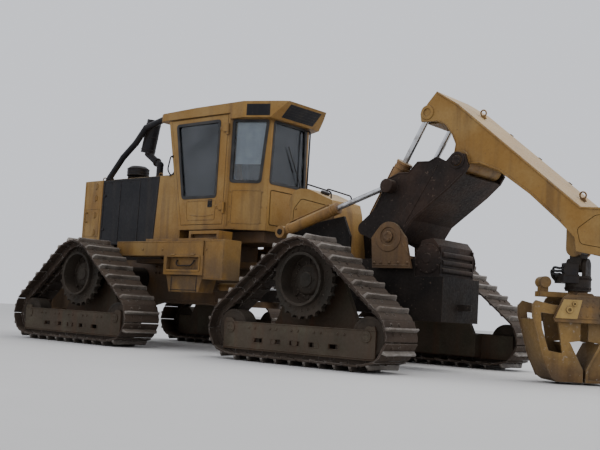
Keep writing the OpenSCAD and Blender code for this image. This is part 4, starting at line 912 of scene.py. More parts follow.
def makeEngineEnd():
    piece("side_panel_fittings", bothSides(bayShapes(bay)), "engine_side_panels", blackPaint, 1.5)
    piece("radiator_panel_fittings", bothSides(noseShapes(nose)), "radiator_panel", paint, 1.5)
    piece("grille_bars", grilleShapes(grille), "radiator_grille", blackPaint, 1.0)
    piece("hood_fittings", hoodShapes(hood), "hood", paint, 1.5)
    piece("pre_cleaner_fins", cleanerShapes(cleaner), "pre_cleaner", blackPaint, 1.0)
    piece("exhaust_bands", bandShapes(muffler), "exhaust", blackPaint, 1.0)


makeEngineEnd()
print("engine end made")

# Cab: its front face leans forward from the floor up, and a slanted pane joins each side to the rear
cab = {
    "y": 640.0, "low": 1600.0, "top": 3150.0, "front": 1010.0, "lean": 345.0, "rear": 370.0, "rearY": 385.0,
    "corner": 150.0, "sill": 2230.0, "glassTop": 3060.0, "doorSill": 2035.0, "doorTop": 3070.0,
    "doorRear": 328.0,
}
leanRatio = cab["lean"] / (cab["top"] - cab["low"])
slant = math.hypot(leanRatio, 1)
cornerRun = np.array([cab["corner"] + cab["rear"], cab["y"] - cab["rearY"], 0.0])
cornerLength = np.linalg.norm(cornerRun)
cornerWay = cornerRun / cornerLength
seal = {"over": 14.0, "in": 26.0, "back": -12.0, "front": 7.0, "round": 46.0}

# Planes of the windows: origin, across and up
planes = {
    "corner": ((-cab["rear"], cab["rearY"], 0), -cornerWay, (0, 0, 1)),
    "rear": ((-cab["rear"], 0, 0), (0, -1, 0), (0, 0, 1)),
    "side": ((0, cab["y"], 0), (-1, 0, 0), (0, 0, 1)),
    "front": ((cab["front"], 0, cab["low"]), (0, 1, 0), (leanRatio / slant, 0, 1 / slant)),
}


# Front wall's X at height z, on its straight lean
def frontX(z):
    return cab["front"] + leanRatio * (z - cab["low"])


# Outlines of the panes on their planes, inside the seals
def paneOutlines(values):
    sill, top, low, high = values["sill"], values["glassTop"], values["doorSill"], values["doorTop"]
    far, near = 60 - cornerLength, -values["doorRear"]
    return {
        "corner": [(-110, sill), (far, sill), (far, top), (-40, top)],
        "rear": [(-355, sill), (355, sill), (325, top), (-325, top)],
        "side": [(near, low), (130 - frontX(low), low), (160 - frontX(high), high), (near, high)],
        "front": rectangle(-550, 550, 760 * slant, 1460 * slant),
    }


panes = paneOutlines(cab)


# Rubber seal round a window: a four-sided ring that laps the wall outside and the glass inside
def sealShape(name):
    ring = roundedOutline(panes[name], seal["round"])
    return frameRing(ring, (seal["over"], seal["in"]), seal["back"], seal["front"], planes[name])


# Wiper: an arm and a blade across a pane, off the glass by a little
def wiperShapes(place, foot, tip, half):
    foot, tip = np.array(foot, float), np.array(tip, float)
    reach = (tip - foot) / np.linalg.norm(tip - foot) * half
    arm = onPlane([foot, (foot + tip) / 2, tip], 16, *place)
    blade = onPlane([tip - reach, tip + reach], 9, *place)
    boss = np.concatenate([onPlane([foot], depth, *place) for depth in (0, 20)])
    return [pipe(arm, 5, 8), pipe(blade, 7, 6), pipe(boss, 16, 14)]


def makeSeals():
    shapes = bothSides([sealShape("corner")])
    shapes += [sealShape("rear"), sealShape("front"), mirrored(sealShape("side"))]
    shapes += wiperShapes(planes["rear"], (250, 2250), (60, 2600), 190)
    shapes += wiperShapes(planes["front"], (-380, 800), (-120, 1120), 230)
    piece("window_seals", shapes, "cab_windows", rubber, 2.0)
    piece("door_window_seal", [sealShape("side")], "cab_door", rubber, 2.0)


door = {
    "press": [(330, 1730), (860, 1730), (900, 1990), (330, 1990)],
    "crease": [(350, 1800), (560, 1775), (800, 1800)],
    "hingeX": 196.0, "hinges": (1850, 2900), "lock": (392, 462, 1905, 1998),
}


# Door: pressed panel below the glass, a crease across it and hinge straps with their bolts
def doorShapes(values):
    y, x = cab["y"], values["hingeX"]
    shapes = [frameRing(roundedOutline(values["press"], 30), (5, 5), 1, -4, sidePlane(y))]
    shapes.append(pipe(eased([(px, y + 1, pz) for px, pz in values["crease"]], 120), 5, 6))
    for z in values["hinges"]:
        strap = [(x, z + 18), (x + 134, z + 34), (x + 134, z + 76), (x, z + 92)]
        shapes.append(slab(strap, "xz", y - 1, y + 6))
        shapes.append(bolts([(x + 54, y + 5, z + 55), (x + 104, y + 5, z + 55)], 9))
    return shapes


# Lock: a plate in its frame, the grip and the keyhole's boss
def lockShapes(values):
    y = cab["y"]
    x0, x1, z0, z1 = values["lock"]
    plate = rectangle(x0, x1, z0, z1)
    return [slab(plate, "xz", y - 2, y + 3), frameRing(plate, (5, 4), -1, -7, sidePlane(y)),
            block((x0 + 12, y, z0 + 33), (x1 - 12, y + 14, z0 + 51)),
            disc([(13, y), (13, y + 9), (8, y + 10)], (x0 + x1) / 2, z1 - 22, 16)]


# Rails: bent bars with round feet
def railShapes(path, radius, bend):
    path = np.asarray(path, float)
    shapes = [pipe(eased(path, bend), radius, 12)]
    foot = [(radius * 2.2, -1), (radius * 2.2, 5), (radius * 1.9, 6)]
    return shapes + [stood(foot, [end], after - end, 18) for end, after in (path[:2], path[:-3:-1])]


# The rail behind the cab and the one beside the windscreen
rails = {
    "rear": [(-372, -300, 2190), (-440, -318, 2190), (-445, -322, 3040), (-372, -300, 3040)],
    "front": [(1300, 600, 2385), (1300, 662, 2450), (1245, 668, 2640), (1235, 636, 2640)],
}


def makeCabRails(values):
    shapes = railShapes(values["rear"], 11, 70) + railShapes(values["front"], 10, 45)
    piece("cab_rails", shapes, "cab_roof", blackPaint, 0)


roof = {
    "top": 3285.0, "crown": [(-380, -420), (1150, -440), (1150, 440), (-380, 420)], "crownRise": 6.5,
    "lampX": 1370.0, "lampZ": 3080.0, "lamps": ((430, 0.1), (-430, -0.1), (150, 0), (-150, 0)),
    "slats": 5, "slatHalf": 270.0, "slatLean": 160.0,
}


# Raised middle panel of the roof: its outline moved in step by step as it rises
def crownShapes(values):
    outline = roundedOutline(values["crown"], 120)
    rise = values["crownRise"]
    rings = []
    for d, high in ((0, -2), (0, 0), (22, rise - 1.5), (60, rise)):
        rings.append(np.insert(inset(outline, d), 2, values["top"] + high, axis=1))
    return [loft(rings)]


# Slats in the dark vent, each one set back with the vent's lean
def ventShapes(values):
    low, high = boxOf("roof_vents")
    half = values["slatHalf"]
    shapes = []
    for z in np.linspace(low[2] + 22, high[2] - 22, values["slats"]):
        x = low[0] + (1 - (z - low[2]) / (high[2] - low[2])) * values["slatLean"]
        slat = [(x + 2, z - 5), (x + 26, z + 3), (x + 26, z + 9), (x + 2, z + 1)]
        shapes.append(slab(slat, "xz", -half, half))
    return shapes


# Work lamps under the roof's front edge: a shell turned about its aim, and its lens
def makeWorkLamps(values):
    spots = [([(values["lampX"], y, values["lampZ"])], (1, aside, -0.12)) for y, aside in values["lamps"]]
    shell = [(30, -46), (50, -34), (62, -8), (66, 6), (66, 20), (60, 21)]
    glass = [(59, 20), (56, 24), (38, 27), (8, 28)]
    shells, lenses = [[stood(profile, place, aim, 28) for place, aim in spots] for profile in (shell, glass)]
    piece("work_lamp_shells", shells, "cab_roof", blackPaint, 1.0)
    piece("work_lamp_lenses", lenses, "cab_roof", lens, 0)


# Cab walls: a welded seam, a sill strip, bolts beside the corner pane and pressed panels at the rear
def wallShapes():
    y = cab["y"]
    shapes = [block((98, y - 1, 1640), (106, y + 2.5, 3060)), block((-10, y - 62, 1600), (140, y - 10, 1612))]
    for z in (1700, 1900, 2100):
        for share in (0.12, 0.88):
            spot = np.array([-cab["rear"], cab["rearY"], z]) + cornerRun * share
            shapes.append(bolts([spot], 8, np.cross(cornerWay, (0, 0, -1))))
    panels = {"corner": (90 - cornerLength, -80, 1680, 2120), "rear": (-330, 330, 1680, 2140)}
    for name, panel in panels.items():
        shapes.append(frameRing(roundedOutline(rectangle(*panel), 30), (3, 7), 0, 3, planes[name]))
    return shapes


reflectionBlind = {
    "depth": -75.0, "fold": 7.0, "wave": 38.0, "low": 2480.0, "high": 3052.0, "thick": 4.0, "columns": 40,
}


# Pale blinds behind the rear panes, which also paint the sky's pale reflection in that glass: sheets whose
# depth goes as a sine of their width
def reflectionBlindShapes(values):
    shapes = []
    for name in ("corner", "rear"):
        edges = [point[0] for point in panes[name]]
        u = np.linspace(min(edges) + 30, max(edges) - 30, values["columns"])
        fold = (values["depth"] + values["fold"] * np.sin((u - u[0]) / values["wave"]))[:, None]
        rings = []
        for z in (values["low"], values["high"]):
            row = np.stack([u, np.full(len(u), z)], 1)
            front, back = [onPlane(row, fold - thick, *planes[name]) for thick in (0, values["thick"])]
            rings.append(np.concatenate([front, back[::-1]]))
        shapes.append(loft(rings))
    return shapes


# Seat: cushion and back as rounded boxes, |u|^p + |v|^p + |w|^p = 1, crowned and drawn in at the seams
def cushion(centre, half, power=4.0, crown=18.0, count=40, channels=0):
    around = np.linspace(0, 2 * np.pi, count, endpoint=False)
    rise = np.linspace(-0.499 * np.pi, 0.499 * np.pi, count // 2)
    a, b = np.meshgrid(around, rise)
    way = np.stack([np.cos(b) * np.cos(a), np.cos(b) * np.sin(a), np.sin(b)], -1)
    flat = way * (np.abs(way) ** power).sum(-1, keepdims=True) ** (-1 / power)
    points = flat * np.array(half)
    points[..., 2] += crown * (1 - flat[..., 0] ** 2) * (1 - flat[..., 1] ** 2) * np.sign(flat[..., 2])
    if channels:
        seam = np.exp(-((flat[..., 0] * channels % 1.0 - 0.5) / 0.10) ** 2)
        points[..., 2] -= 5 * seam * (flat[..., 2] > 0.2)
    return loft(points + np.array(centre, float))


seat = {"x": 380.0, "backX": 130.0, "headX": 140.0, "half": 225.0}


def makeSeat(values):
    base, x, half = boxOf("seat")[0][2], values["x"], values["half"]
    soft = [cushion((x, 0, base + 290), (246, 236, 58), channels=3),
            cushion((values["backX"], 0, base + 690), (56, 226, 300), 5.0, 0),
            cushion((values["headX"], 0, base + 930), (44, 130, 62), 4.0, 0)]
    pads = piece("seat_cushions", soft, "seat", cloth, 0)
    post = [(118, 0), (118, 12), (70, 30), (62, 150), (118, 205), (118, 222)]
    frameParts = [turned([(radius, base + rise) for radius, rise in post], (x, 0, 0), "z", 32),
                  block((x - 230, -half, base + 205), (x + 240, half, base + 236)),
                  block((82, -150, base + 240), (100, 150, base + 880))]
    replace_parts(piece("seat_frame", frameParts, "seat", plastic, 5.0), "seat")


controls = {"armY": 360.0, "armZ": 2158.0, "wheel": (800, 0, 2430), "wheelRadius": 165.0}


# Levers and arm rests, the wheel on its column and a screen, all seen through the glass
def cabinShapes(values):
    y, z = values["armY"], values["armZ"]
    shapes = []
    for s in (-1, 1):
        lever = [(560, s * y, z + 2), (575, s * (y - 2), z + 72), (585, s * (y - 10), z + 172)]
        shapes.append(pipe(smoothCurve(lever), [16] * 16 + [24], 12))
        shapes.append(block((200, s * y - 50, z), (480, s * y + 50, z + 28)))
    shapes.append(pipe(smoothCurve([(880, 60, 2195), (860, 40, 2290), (815, 0, 2420)]), 22, 12))
    x, _, high = values["wheel"]
    turn = np.linspace(0, 2 * np.pi, 37)
    wheel = [x + 60 * np.sin(turn), values["wheelRadius"] * np.cos(turn), high + 150 * np.sin(turn)]
    return shapes + [pipe(np.stack(wheel, 1), 13, 10), block((1150, -420, 2440), (1170, -200, 2600))]


def makeCab():
    makeSeals()
    piece("door_fittings", doorShapes(door), "cab_door", paint, 1.5)
    piece("door_lock", lockShapes(door), "cab_door", blackPaint, 1.0)
    makeCabRails(rails)
    piece("roof_crown", crownShapes(roof), "cab_roof", paint, 2.0)
    makeWorkLamps(roof)
    piece("roof_vent_slats", ventShapes(roof), "roof_vents", blackPaint, 1.0)
    piece("cab_wall_fittings", bothSides(wallShapes()), "cab_side_walls", paint, 1.0)
    piece("rear_reflection_blinds", reflectionBlindShapes(reflectionBlind), "cab_windows", reflectionBlindCloth, 0)
    makeSeat(seat)
    piece("cabin_controls", cabinShapes(controls), "console", plastic, 3.0)


makeCab()
print("cab made")

# Side boxes
box = {
    "face": 1000.0, "lid": (176, 804, 1026, 1214), "seam": (-240, 96, 935, 1415),
    "ledge": (124, 1856, 1396, 1412),
    "under": (862, 1856, 1216, 1228), "hinges": (300, 680), "bolts": (900, 1300, 1780), "frontBolt": 70.0,
    "boltZ": 1300.0, "gripLow": 1090.0, "steps": (772, 960), "bars": (262, 738), "top": 1410.0,
    "studStep": 40.0,
}


# Step box: lid frame round the tray or a plain lid, hinges, ledge trims, a seam and bolts
def sideShapes(values, tray):
    y = values["face"]
    lid = rectangle(*values["lid"])
    shapes = [frameRing(roundedOutline(lid, 24), (16, 12), 1, -8, sidePlane(y))]
    for x in values["hinges"]:
        shapes.append(turned([(11, x - 40), (11, x + 40)], (0, y + 5, values["lid"][3] + 16), "x", 12))
    shapes.append(bolts([(x, y, values["boltZ"]) for x in values["bolts"]], 12))
    shapes.append(bolts([(values["frontBolt"], y - 10, values["boltZ"])], 12))
    for (x0, x1, z0, z1), back, front in ((values["ledge"], 4, 4), (values["under"], 12, 3)):
        shapes.append(block((x0, y - back, z0), (x1, y + front, z1)))
    seam = roundedOutline(rectangle(*values["seam"]), 20)
    shapes.append(frameRing(seam, (0, 9), 1, -3, sidePlane(y - 10)))
    if not tray:
        shapes.append(slab(lid, "xz", y - 2, y + 4))
    return shapes


# Drop handle in the tray, and a rung and a tread hung from two bent bars
def handleShapes(values):
    y, low = values["face"], values["gripLow"]
    half = [(330, y - 50, low + 75), (330, y - 30, low + 30), (370, y - 22, low)]
    grip = half + [(980 - px, py, pz) for px, py, pz in half[::-1]]
    bars = [[(x, y - 60, 965), (x, y - 52, 860), (x, y - 58, 756)] for x in values["bars"]]
    rungs = [block((248, y - 76, z), (752, y - 44, z + 8)) for z in values["steps"]]
    return [pipe(eased(grip, 25), 9, 10)] + [pipe(eased(bar, 20), 10, 10) for bar in bars] + rungs


# Rows of grip studs on the ledge's top
def treadShapes(values):
    step = values["studStep"]
    x, y = np.meshgrid(np.arange(900, 1840, step), np.arange(740, 990, step))
    spots = np.stack([x.ravel(), y.ravel(), np.full(x.size, values["top"])], 1)
    return [stood([(9, -1), (9, 2), (6, 5)], spots, (0, 0, 1), 8)]


def makeSideBoxes():
    piece("left_box_fittings", sideShapes(box, True), "left_side_box", paint, 1.5)
    right = [mirrored(shape) for shape in sideShapes(box, False)]
    piece("right_box_fittings", right, "right_side_box", paint, 1.5)
    piece("box_handles", bothSides(handleShapes(box)), "left_side_box", blackPaint, 1.0)
    piece("ledge_treads", bothSides(treadShapes(box)), "left_side_box", oldPaint, 0)


makeSideBoxes()
print("side boxes made")

# Rear end, arch, boom and grapple
rear = {
    "archPivot": (-2370.0, 1490.0), "boomPivot": (-3200.0, 2330.0), "hang": -4440.0,
    "deckFace": 300.0, "towerFace": 476.0, "archFace": 430.0, "boomFace": 355.0,
}
deck = {
    "outline": [(-1390, 1300), (-760, 1300), (-760, 1880), (-880, 2010), (-1330, 1900)],
    "bolts": [(-800, 1350), (-1340, 1350), (-800, 1880), (-1300, 1850)],
    "filler": (-1120, 120, 2086), "slope": (-0.35, 0, 1),
    "rail": [(-880, -210, 2128), (-880, -210, 2210), (-1290, -210, 2090), (-1290, -210, 1995)],
}
tower = {
    "boss": [(172, -1), (172, 8), (150, 10), (110, 10), (104, 2), (104, -1)], "cap": 64.0,
    "seams": ([(-2660, 1160), (-2180, 1160)], [(-2650, 1290), (-2560, 1420)]),
    "bolts": [(x, 1190) for x in (-2640, -2520, -2400, -2280, -2190)],
}
arch = {
    "upper": [(-2150, 1830), (-2305, 2170), (-2440, 2224), (-2575, 2224), (-2688, 2338), (-2838, 2334),
              (-2940, 2376)],
    "lower": [(-2480, 1466), (-2650, 1694), (-3110, 2030), (-3270, 2172)],
    "web": [(-2560, 1640), (-2470, 1700), (-2860, 2240), (-2960, 2290)],
    "boss": [(96, -1), (96, 8), (88, 10), (66, 10), (62, -1)], "cap": 58.0,
    "tube": (-3060, 2200), "tubeHalf": 394.0,
    "ribs": (-210, 0, 210), "rib": [(-2560, 1640), (-3060, 2060), (-3010, 2120), (-2620, 1800)],
}


# X-Z points at depth y
def atSide(points, y):
    return np.insert(np.asarray(points, float), 1, y, axis=1)


# A profile's (radius, rise) pairs with their rise counted from depth y
def outFrom(y, profile):
    return [(radius, y + rise) for radius, rise in profile]


# Cap over the end of a pivot pin: a stepped disc and its ring of bolts
def pinCap(x, z, y, radius, count=6):
    profile = [(radius, -2), (radius, 10), (radius - 6, 14), (radius * 0.45, 15), (radius * 0.4, 11), (6, 11)]
    ring = boltCircle(x, z, y + 13, radius * 0.72, count, 0.5)
    return [disc(outFrom(y, profile), x, z, 36), bolts(ring, radius * 0.12)]


# Deck's sides: a pressed outline and its bolts
def deckShapes(values):
    y = rear["deckFace"]
    shapes = [frameRing(roundedOutline(values["outline"], 40), (5, 6), 0, 4, sidePlane(y))]
    return shapes + [bolts([spot], 12) for spot in atSide(values["bolts"], y)]


# Filler neck with its cap on the deck's slope, and the two rails beside it
def deckTop(values):
    profiles = [[(62, 0), (62, 22), (54, 30), (12, 32)], [(50, -12), (50, 10)]]
    shapes = [stood(profile, [values["filler"]], values["slope"], 28) for profile in profiles]
    rail = pipe(eased(values["rail"], 40), 10, 10)
    return shapes + [rail, moved(rail, (0, 420, 0))]


# Towers: pin caps, bosses, weld beads and bolts
def towerShapes(values):
    y = rear["towerFace"]
    shapes = pinCap(*rear["archPivot"], y + 10, values["cap"])
    shapes.append(disc(outFrom(y, values["boss"]), *rear["archPivot"], 48, True))
    shapes += [pipe(atSide(seam, y), 8, 6) for seam in values["seams"]]
    return shapes + [bolts(atSide(values["bolts"], y), 15)]


# Arch: edge strips, bosses, pin caps and web plates on its side plates
def archShapes(values):
    y = rear["archFace"]
    shapes = [pipe(atSide(values["upper"], y - 4), 11, 8), pipe(atSide(values["lower"], y - 4), 12, 8)]
    shapes.append(disc(outFrom(y, values["boss"]), *rear["boomPivot"], 40, True))
    shapes += pinCap(*rear["boomPivot"], y + 8, values["cap"])
    return shapes + [slab(values["web"], "xz", y - 2, y + 5)]


# Tube and ribs between the plates of the arch
def archCross(values):
    half = values["tubeHalf"]
    tube = disc([(44, -half), (44, half)], *values["tube"], 24)
    return [tube] + [slab(values["rib"], "xz", y - 9, y + 9) for y in values["ribs"]]


# Paired cylinders: foot and eye in X and Z, place across, barrel radius and length, and the rod eye's boss
cylinders = {
    "arch": {"foot": (-780, 1560), "eye": (-2360, 2070), "y": 505, "barrel": 66, "length": 900,
             "boss": 78, "wide": 120},
    "boom": {"foot": (-1980, 1600), "eye": (-2720, 2915), "y": 275, "barrel": 90, "length": 890,
             "boss": 82, "wide": 90},
}


# Lines on a cylinder from its foot to its head: two steel pipes in clamps beside the barrel
def cylinderPipes(values):
    foot, eye = atSide([values["foot"], values["eye"]], values["y"])
    radius, length = values["barrel"], values["length"]
    way = (eye - foot) / np.linalg.norm(eye - foot)
    up = np.cross(way, (0, 1, 0))
    up = up if up[2] > 0 else -up
    ring = [(radius - 2, -16), (radius + 7, -14), (radius + 7, 14), (radius - 2, 16)]
    shapes = [stood(ring, [foot + way * run], way, 36) for run in (130, length - 70, length - 10)]
    for aside, (a, b) in ((-17, (150, 250)), (17, (150, length - 100))):
        rises = ((a, radius * 0.8), (a, radius + 16), (b, radius + 16), (b, radius * 0.8))
        path = [foot + way * run + up * rise + (0, aside, 0) for run, rise in rises]
        shapes.append(pipe(eased(path, 12), 9, 8))
    return shapes


# Bosses over the eyes of the piston rods
def eyeBosses(values):
    radius, half = values["boss"], values["wide"] / 2
    profile = [(radius - 4, -half - 2), (radius + 2, -half), (radius + 2, half), (radius - 4, half + 2)]
    return [disc(outFrom(values["y"], profile), *values["eye"], 36)]


boom = {
    "top": [(-2880, 3150), (-3140, 2985), (-4600, 1778), (-4880, 1760)],
    "under": [(-3140, 2290), (-3440, 2290), (-3680, 2190), (-4040, 1930), (-4380, 1630)],
    "seam": [(-3120, 2420), (-3135, 2540), (-3070, 2670), (-2975, 2780), (-2870, 2826)],
    "plate": [(-4960, 1450), (-4880, 1350), (-4600, 1400), (-4560, 1560), (-4760, 1700), (-4940, 1680)],
    "bosses": [(-2745, 2925, 84), (-3200, 2330, 124)],    # place and radius
    "lugs": [(-3270, 2877), (-4470, 1886)],
}
boomPipes = {
    "start": (-3330, -371, 2700), "end": (-4500, -371, 1735), "count": 4, "gap": 28.0,
    "clamps": (0.04, 0.35, 0.66, 0.96), "clampHalf": 20.0,
}


# Boom: proud edges of its top and bottom plates, bosses, a weld bead and the seam of its end plate
def boomShapes(values):
    y = rear["boomFace"]
    shapes = []
    for edge, drop in ((values["top"], -13), (values["under"], 13)):
        path = atSide(edge, y)
        along = np.gradient(path, axis=0)
        along /= np.linalg.norm(along, axis=1, keepdims=True)
        up = np.stack([-along[:, 2], np.zeros(len(path)), along[:, 0]], 1)
        up *= np.sign(up[:, 2:])
        side = np.array([(-9, -9), (8, -9), (8, 9), (-9, 9)], float)[None]
        rings = path[:, None] + side[..., :1] * [0, 1, 0] + (side[..., 1:] + drop) * up[:, None]
        shapes.append(loft(rings))
    for x, z, radius in values["bosses"]:
        boss = [(radius, -1), (radius, 9), (radius - 8, 12), (48, 12), (44, -1)]
        shapes.append(disc(outFrom(y, boss), x, z, 44, True))
    shapes.append(pipe(smoothCurve(atSide(values["seam"], y + 1)), 6, 6))
    return shapes + [frameRing(roundedOutline(values["plate"], 40), (0, 10), 0, 5, sidePlane(y))]


# Lifting rings on their lugs along the top of the boom
def liftingRings(values):
    turn = np.linspace(0, 2 * np.pi, 25)
    shapes = []
    for x, z in values["lugs"]:
        lug = [(x - 40, z - 8), (x + 40, z - 8), (x + 24, z + 36), (x - 24, z + 36)]
        ring = [x + 34 * np.cos(turn), 6 * np.sin(turn), z + 62 + 34 * np.sin(turn)]
        shapes += [slab(lug, "xz", -12, 12), pipe(np.stack(ring, 1), 9, 10)]
    return shapes


# Steel lines down the boom's right side: pipes one above the other, held in clamps
def boomLines(values):
    start, end = np.array(values["start"], float), np.array(values["end"], float)
    way = (end - start) / np.linalg.norm(end - start)
    up = np.array([way[2], 0, -way[0]])
    shapes = [pipe([start + up * values["gap"] * k, end + up * values["gap"] * k], 10, 8)
              for k in range(values["count"])]
    half = values["clampHalf"]
    for share in values["clamps"]:
        spot = start + (end - start) * share
        shapes.append(loft([[spot + way * run + up * rise + (0, out, 0)
                             for rise, out in ((-20, 18), (104, 18), (104, -14), (-20, -14))]
                            for run in (-half, half)]))
    return shapes


grapple = {
    "yaw": -45.0, "pinZ": 740.0, "pins": (-170, 170), "pinHalf": 260.0,
    "hoses": ((60, 40), (80, 10), (70, -20)),    # how far each loop reaches out and how high it rises
    "padFace": 260.0, "padThick": 14.0, "padRim": 16.0, "leftRibs": 226.0, "rightRibs": 182.0,
}
headWay, sideWay = [np.array([math.cos(turn), math.sin(turn), 0])
                    for turn in (math.radians(grapple["yaw"]), math.radians(grapple["yaw"] + 90))]


# A shape drawn on the grapple's own axes, a along its tong pins and b across them, carried to its place
def onGrapple(shape):
    points, faces = shape
    turn = np.stack([headWay, sideWay, np.array([0, 0, 1.0])])
    return points @ turn + [rear["hang"], 0, 0], faces


# A grapple shape turned half round the grapple's upright axis
def facing(shape):
    points, faces = shape
    return points * [-1, -1, 1], faces


# Grapple head: pin bosses, bolted cheek plates and two saddles
def headShapes(values):
    shapes = []
    for b in values["pins"]:
        for out in (-1, 1):
            boss = outFrom(out * values["pinHalf"], [(56, 0), (56, 8 * out), (48, 12 * out), (10, 12 * out)])
            shapes.append(turned(boss, (0, b, values["pinZ"]), "x", 30))
    spots = [(262, b, z) for b in (-60, 0, 60) for z in (690, 790, 850)]
    shapes += [bolts(spots, 11, (1, 0, 0)), bolts([(-a, b, z) for a, b, z in spots], 11, (-1, 0, 0))]
    shapes += [block((262, -120, 660), (268, 120, 870)), block((-268, -120, 660), (-262, 120, 870))]
    for a in (-200, 200):
        shapes.append(slab([(-95, 898), (95, 898), (70, 922), (-70, 922)], "yz", a - 12, a + 12))
    return [onGrapple(shape) for shape in shapes]


# Pad at one end of each cheek: a slanted plate with two open bushes of outer radius r and bore half as wide
def padShapes(values):
    face, outer = values["padFace"], values["padFace"] + values["padThick"]
    rim = outer + values["padRim"]
    shapes = [slab([(335, 655), (105, 655), (55, 850), (245, 850)], "yz", -outer, -face + 2)]
    for y, z, r in ((190, 745, 34), (140, 805, 22)):
        bush = [(r, -outer + 2), (r, -rim), (r * 0.5, -rim), (r * 0.5, -outer + 2)]
        shapes.append(turned(bush, (0, y, z), "x", 30, hollow=True))
    return [onGrapple(shape) for shape in shapes + [facing(shape) for shape in shapes]]


# Hoses on the rotator: loops from the valve block round to the swivel
def rotatorHoses(values):
    shapes = []
    for k, (reach, high) in enumerate(values["hoses"]):
        a, low = -150 + 30 * k, -30 * k
        path = [(a, 222, 1170 + low), (a, 222 + reach * 0.6, 1165 + low), (-60, 225 + reach, 1130 + high),
                (20 + 10 * k, 222 + reach * 0.5, 1085), (30 + 10 * k, 222, 1075 - 14 * k)]
        shapes.append(pipe(smoothCurve(path, 10), 13, 10))
    shapes.append(bolts([(-190 + 30 * k, 214, z) for k in range(3) for z in (1125, 1195)], 8))
    return [onGrapple(shape) for shape in shapes]


# Swivel: two bands and a ring of bolts
def swivelShapes():
    x = rear["hang"]
    low = [(132, 960), (136, 964), (136, 984), (131, 988)]
    high = [(132, 1060), (138, 1064), (138, 1082), (131, 1086)]
    shapes = [turned(band, (x, 0, 0), "z") for band in (low, high)]
    turn = np.arange(16) * math.pi / 8
    spots = np.stack([x + 112 * np.cos(turn), 112 * np.sin(turn), np.full(16, 1099.0)], 1)
    return shapes + [bolts(spots, 8, (0, 0, 1))]


# Tongs: weld beads and pin bosses at a tong's two ribs, a wear strip on its tip and four teeth
def tongShapes(rib):
    bead = [(335, 60), (425, 250), (505, 530), (545, 660), (552, 780)]
    shapes = []
    for a in (-rib, rib):
        shapes.append(pipe([(a, b, z) for b, z in bead], 8, 6))
        shapes.append(turned([(66, a - 3), (66, a + 3)], (0, 170, grapple["pinZ"]), "x", 30))
    shapes.append(slab([(12, 24), (150, 24), (150, 44), (12, 60)], "yz", -222, 222))
    for a in (-150, -50, 50, 150):
        shapes.append(slab([(60, 52), (300, 52), (330, 100), (280, 76), (80, 74)], "yz", a - 8, a + 8))
    return shapes


winch = {"rollers": (1120, 1210, 1300), "rollerX": -2994.0, "drum": (-2850, 1250)}


# Winch: rollers of the fairlead, their side plates, and a bolted cover on each side
def winchShapes(values):
    roller = [(26, -330), (32, -326), (32, 326), (26, 330)]
    shapes = [disc(roller, values["rollerX"], z, 20) for z in values["rollers"]]
    for y in (-350, 350):
        shapes.append(block((-3010, y - 12, 1080), (-2960, y + 12, 1380)))
    cover = [(170, 380), (170, 392), (150, 398), (60, 400), (54, 410), (8, 411)]
    cover = disc(cover, *values["drum"], 40)
    ring = bolts(boltCircle(*values["drum"], 396, 158, 12), 10)
    return shapes + [cover, mirrored(cover), ring, mirrored(ring)]


def makeRearEnd():
    piece("deck_side_fittings", bothSides(deckShapes(deck)), "rear_deck", paint, 1.0)
    piece("deck_top_fittings", deckTop(deck), "rear_deck", blackPaint, 1.5)
    piece("tower_fittings", bothSides(towerShapes(tower)), "tower_plates", oldPaint, 2.0)
    piece("winch_fittings", winchShapes(winch), "winch_box", darkSteel, 2.0)
    piece("arch_edges", bothSides(archShapes(arch)), "arch", darkSteel, 2.0)
    piece("arch_cross_tubes", archCross(arch), "arch", darkSteel, 2.0)
    for name, values in cylinders.items():
        lines = bothSides(cylinderPipes(values))
        piece(name + "_cylinder_lines", lines, name + "_barrels", cylinderPaint, 1.0)
    for name, values in cylinders.items():
        piece(name + "_rod_eyes", bothSides(eyeBosses(values)), name + "_rods", darkSteel, 1.0)
    piece("boom_edges", bothSides(boomShapes(boom)), "boom", paint, 2.0)
    piece("boom_lifting_rings", liftingRings(boom), "boom", paint, 1.0)
    piece("boom_lines", boomLines(boomPipes), "boom", darkSteel, 1.0)
    piece("swivel_bands", swivelShapes(), "rotator", darkSteel, 1.0)
    piece("grapple_head_pads", padShapes(grapple), "grapple_head", palePaint, 2.0)
    piece("rotator_hoses", rotatorHoses(grapple), "rotator", rubber, 0)
    piece("grapple_head_fittings", headShapes(grapple), "grapple_head", paint, 2.0)
    left = [onGrapple(shape) for shape in tongShapes(grapple["leftRibs"])]
    piece("left_tong_strips", left, "left_tong", tongSteel, 2.0)
    right = [onGrapple(facing(shape)) for shape in tongShapes(grapple["rightRibs"])]
    piece("right_tong_strips", right, "right_tong", tongSteel, 2.0)


makeRearEnd()
print("rear end made")

# Front frame and blade
blade = {
    "x": 3440.0, "low": 330.0, "half": 1080.0, "ribs": (-900, -300, 300, 900), "bolts": 12, "bars": (480, 90),
}
chassis = {
    "face": 400.0, "spans": ((300, 1600), (2380, 3080)), "seams": (640, 1170),
    "boltX": (1620, 1700, 2280, 2360), "boltZ": (1020, 1110), "pin": (2450, 720), "pinFace": 665.0,
}


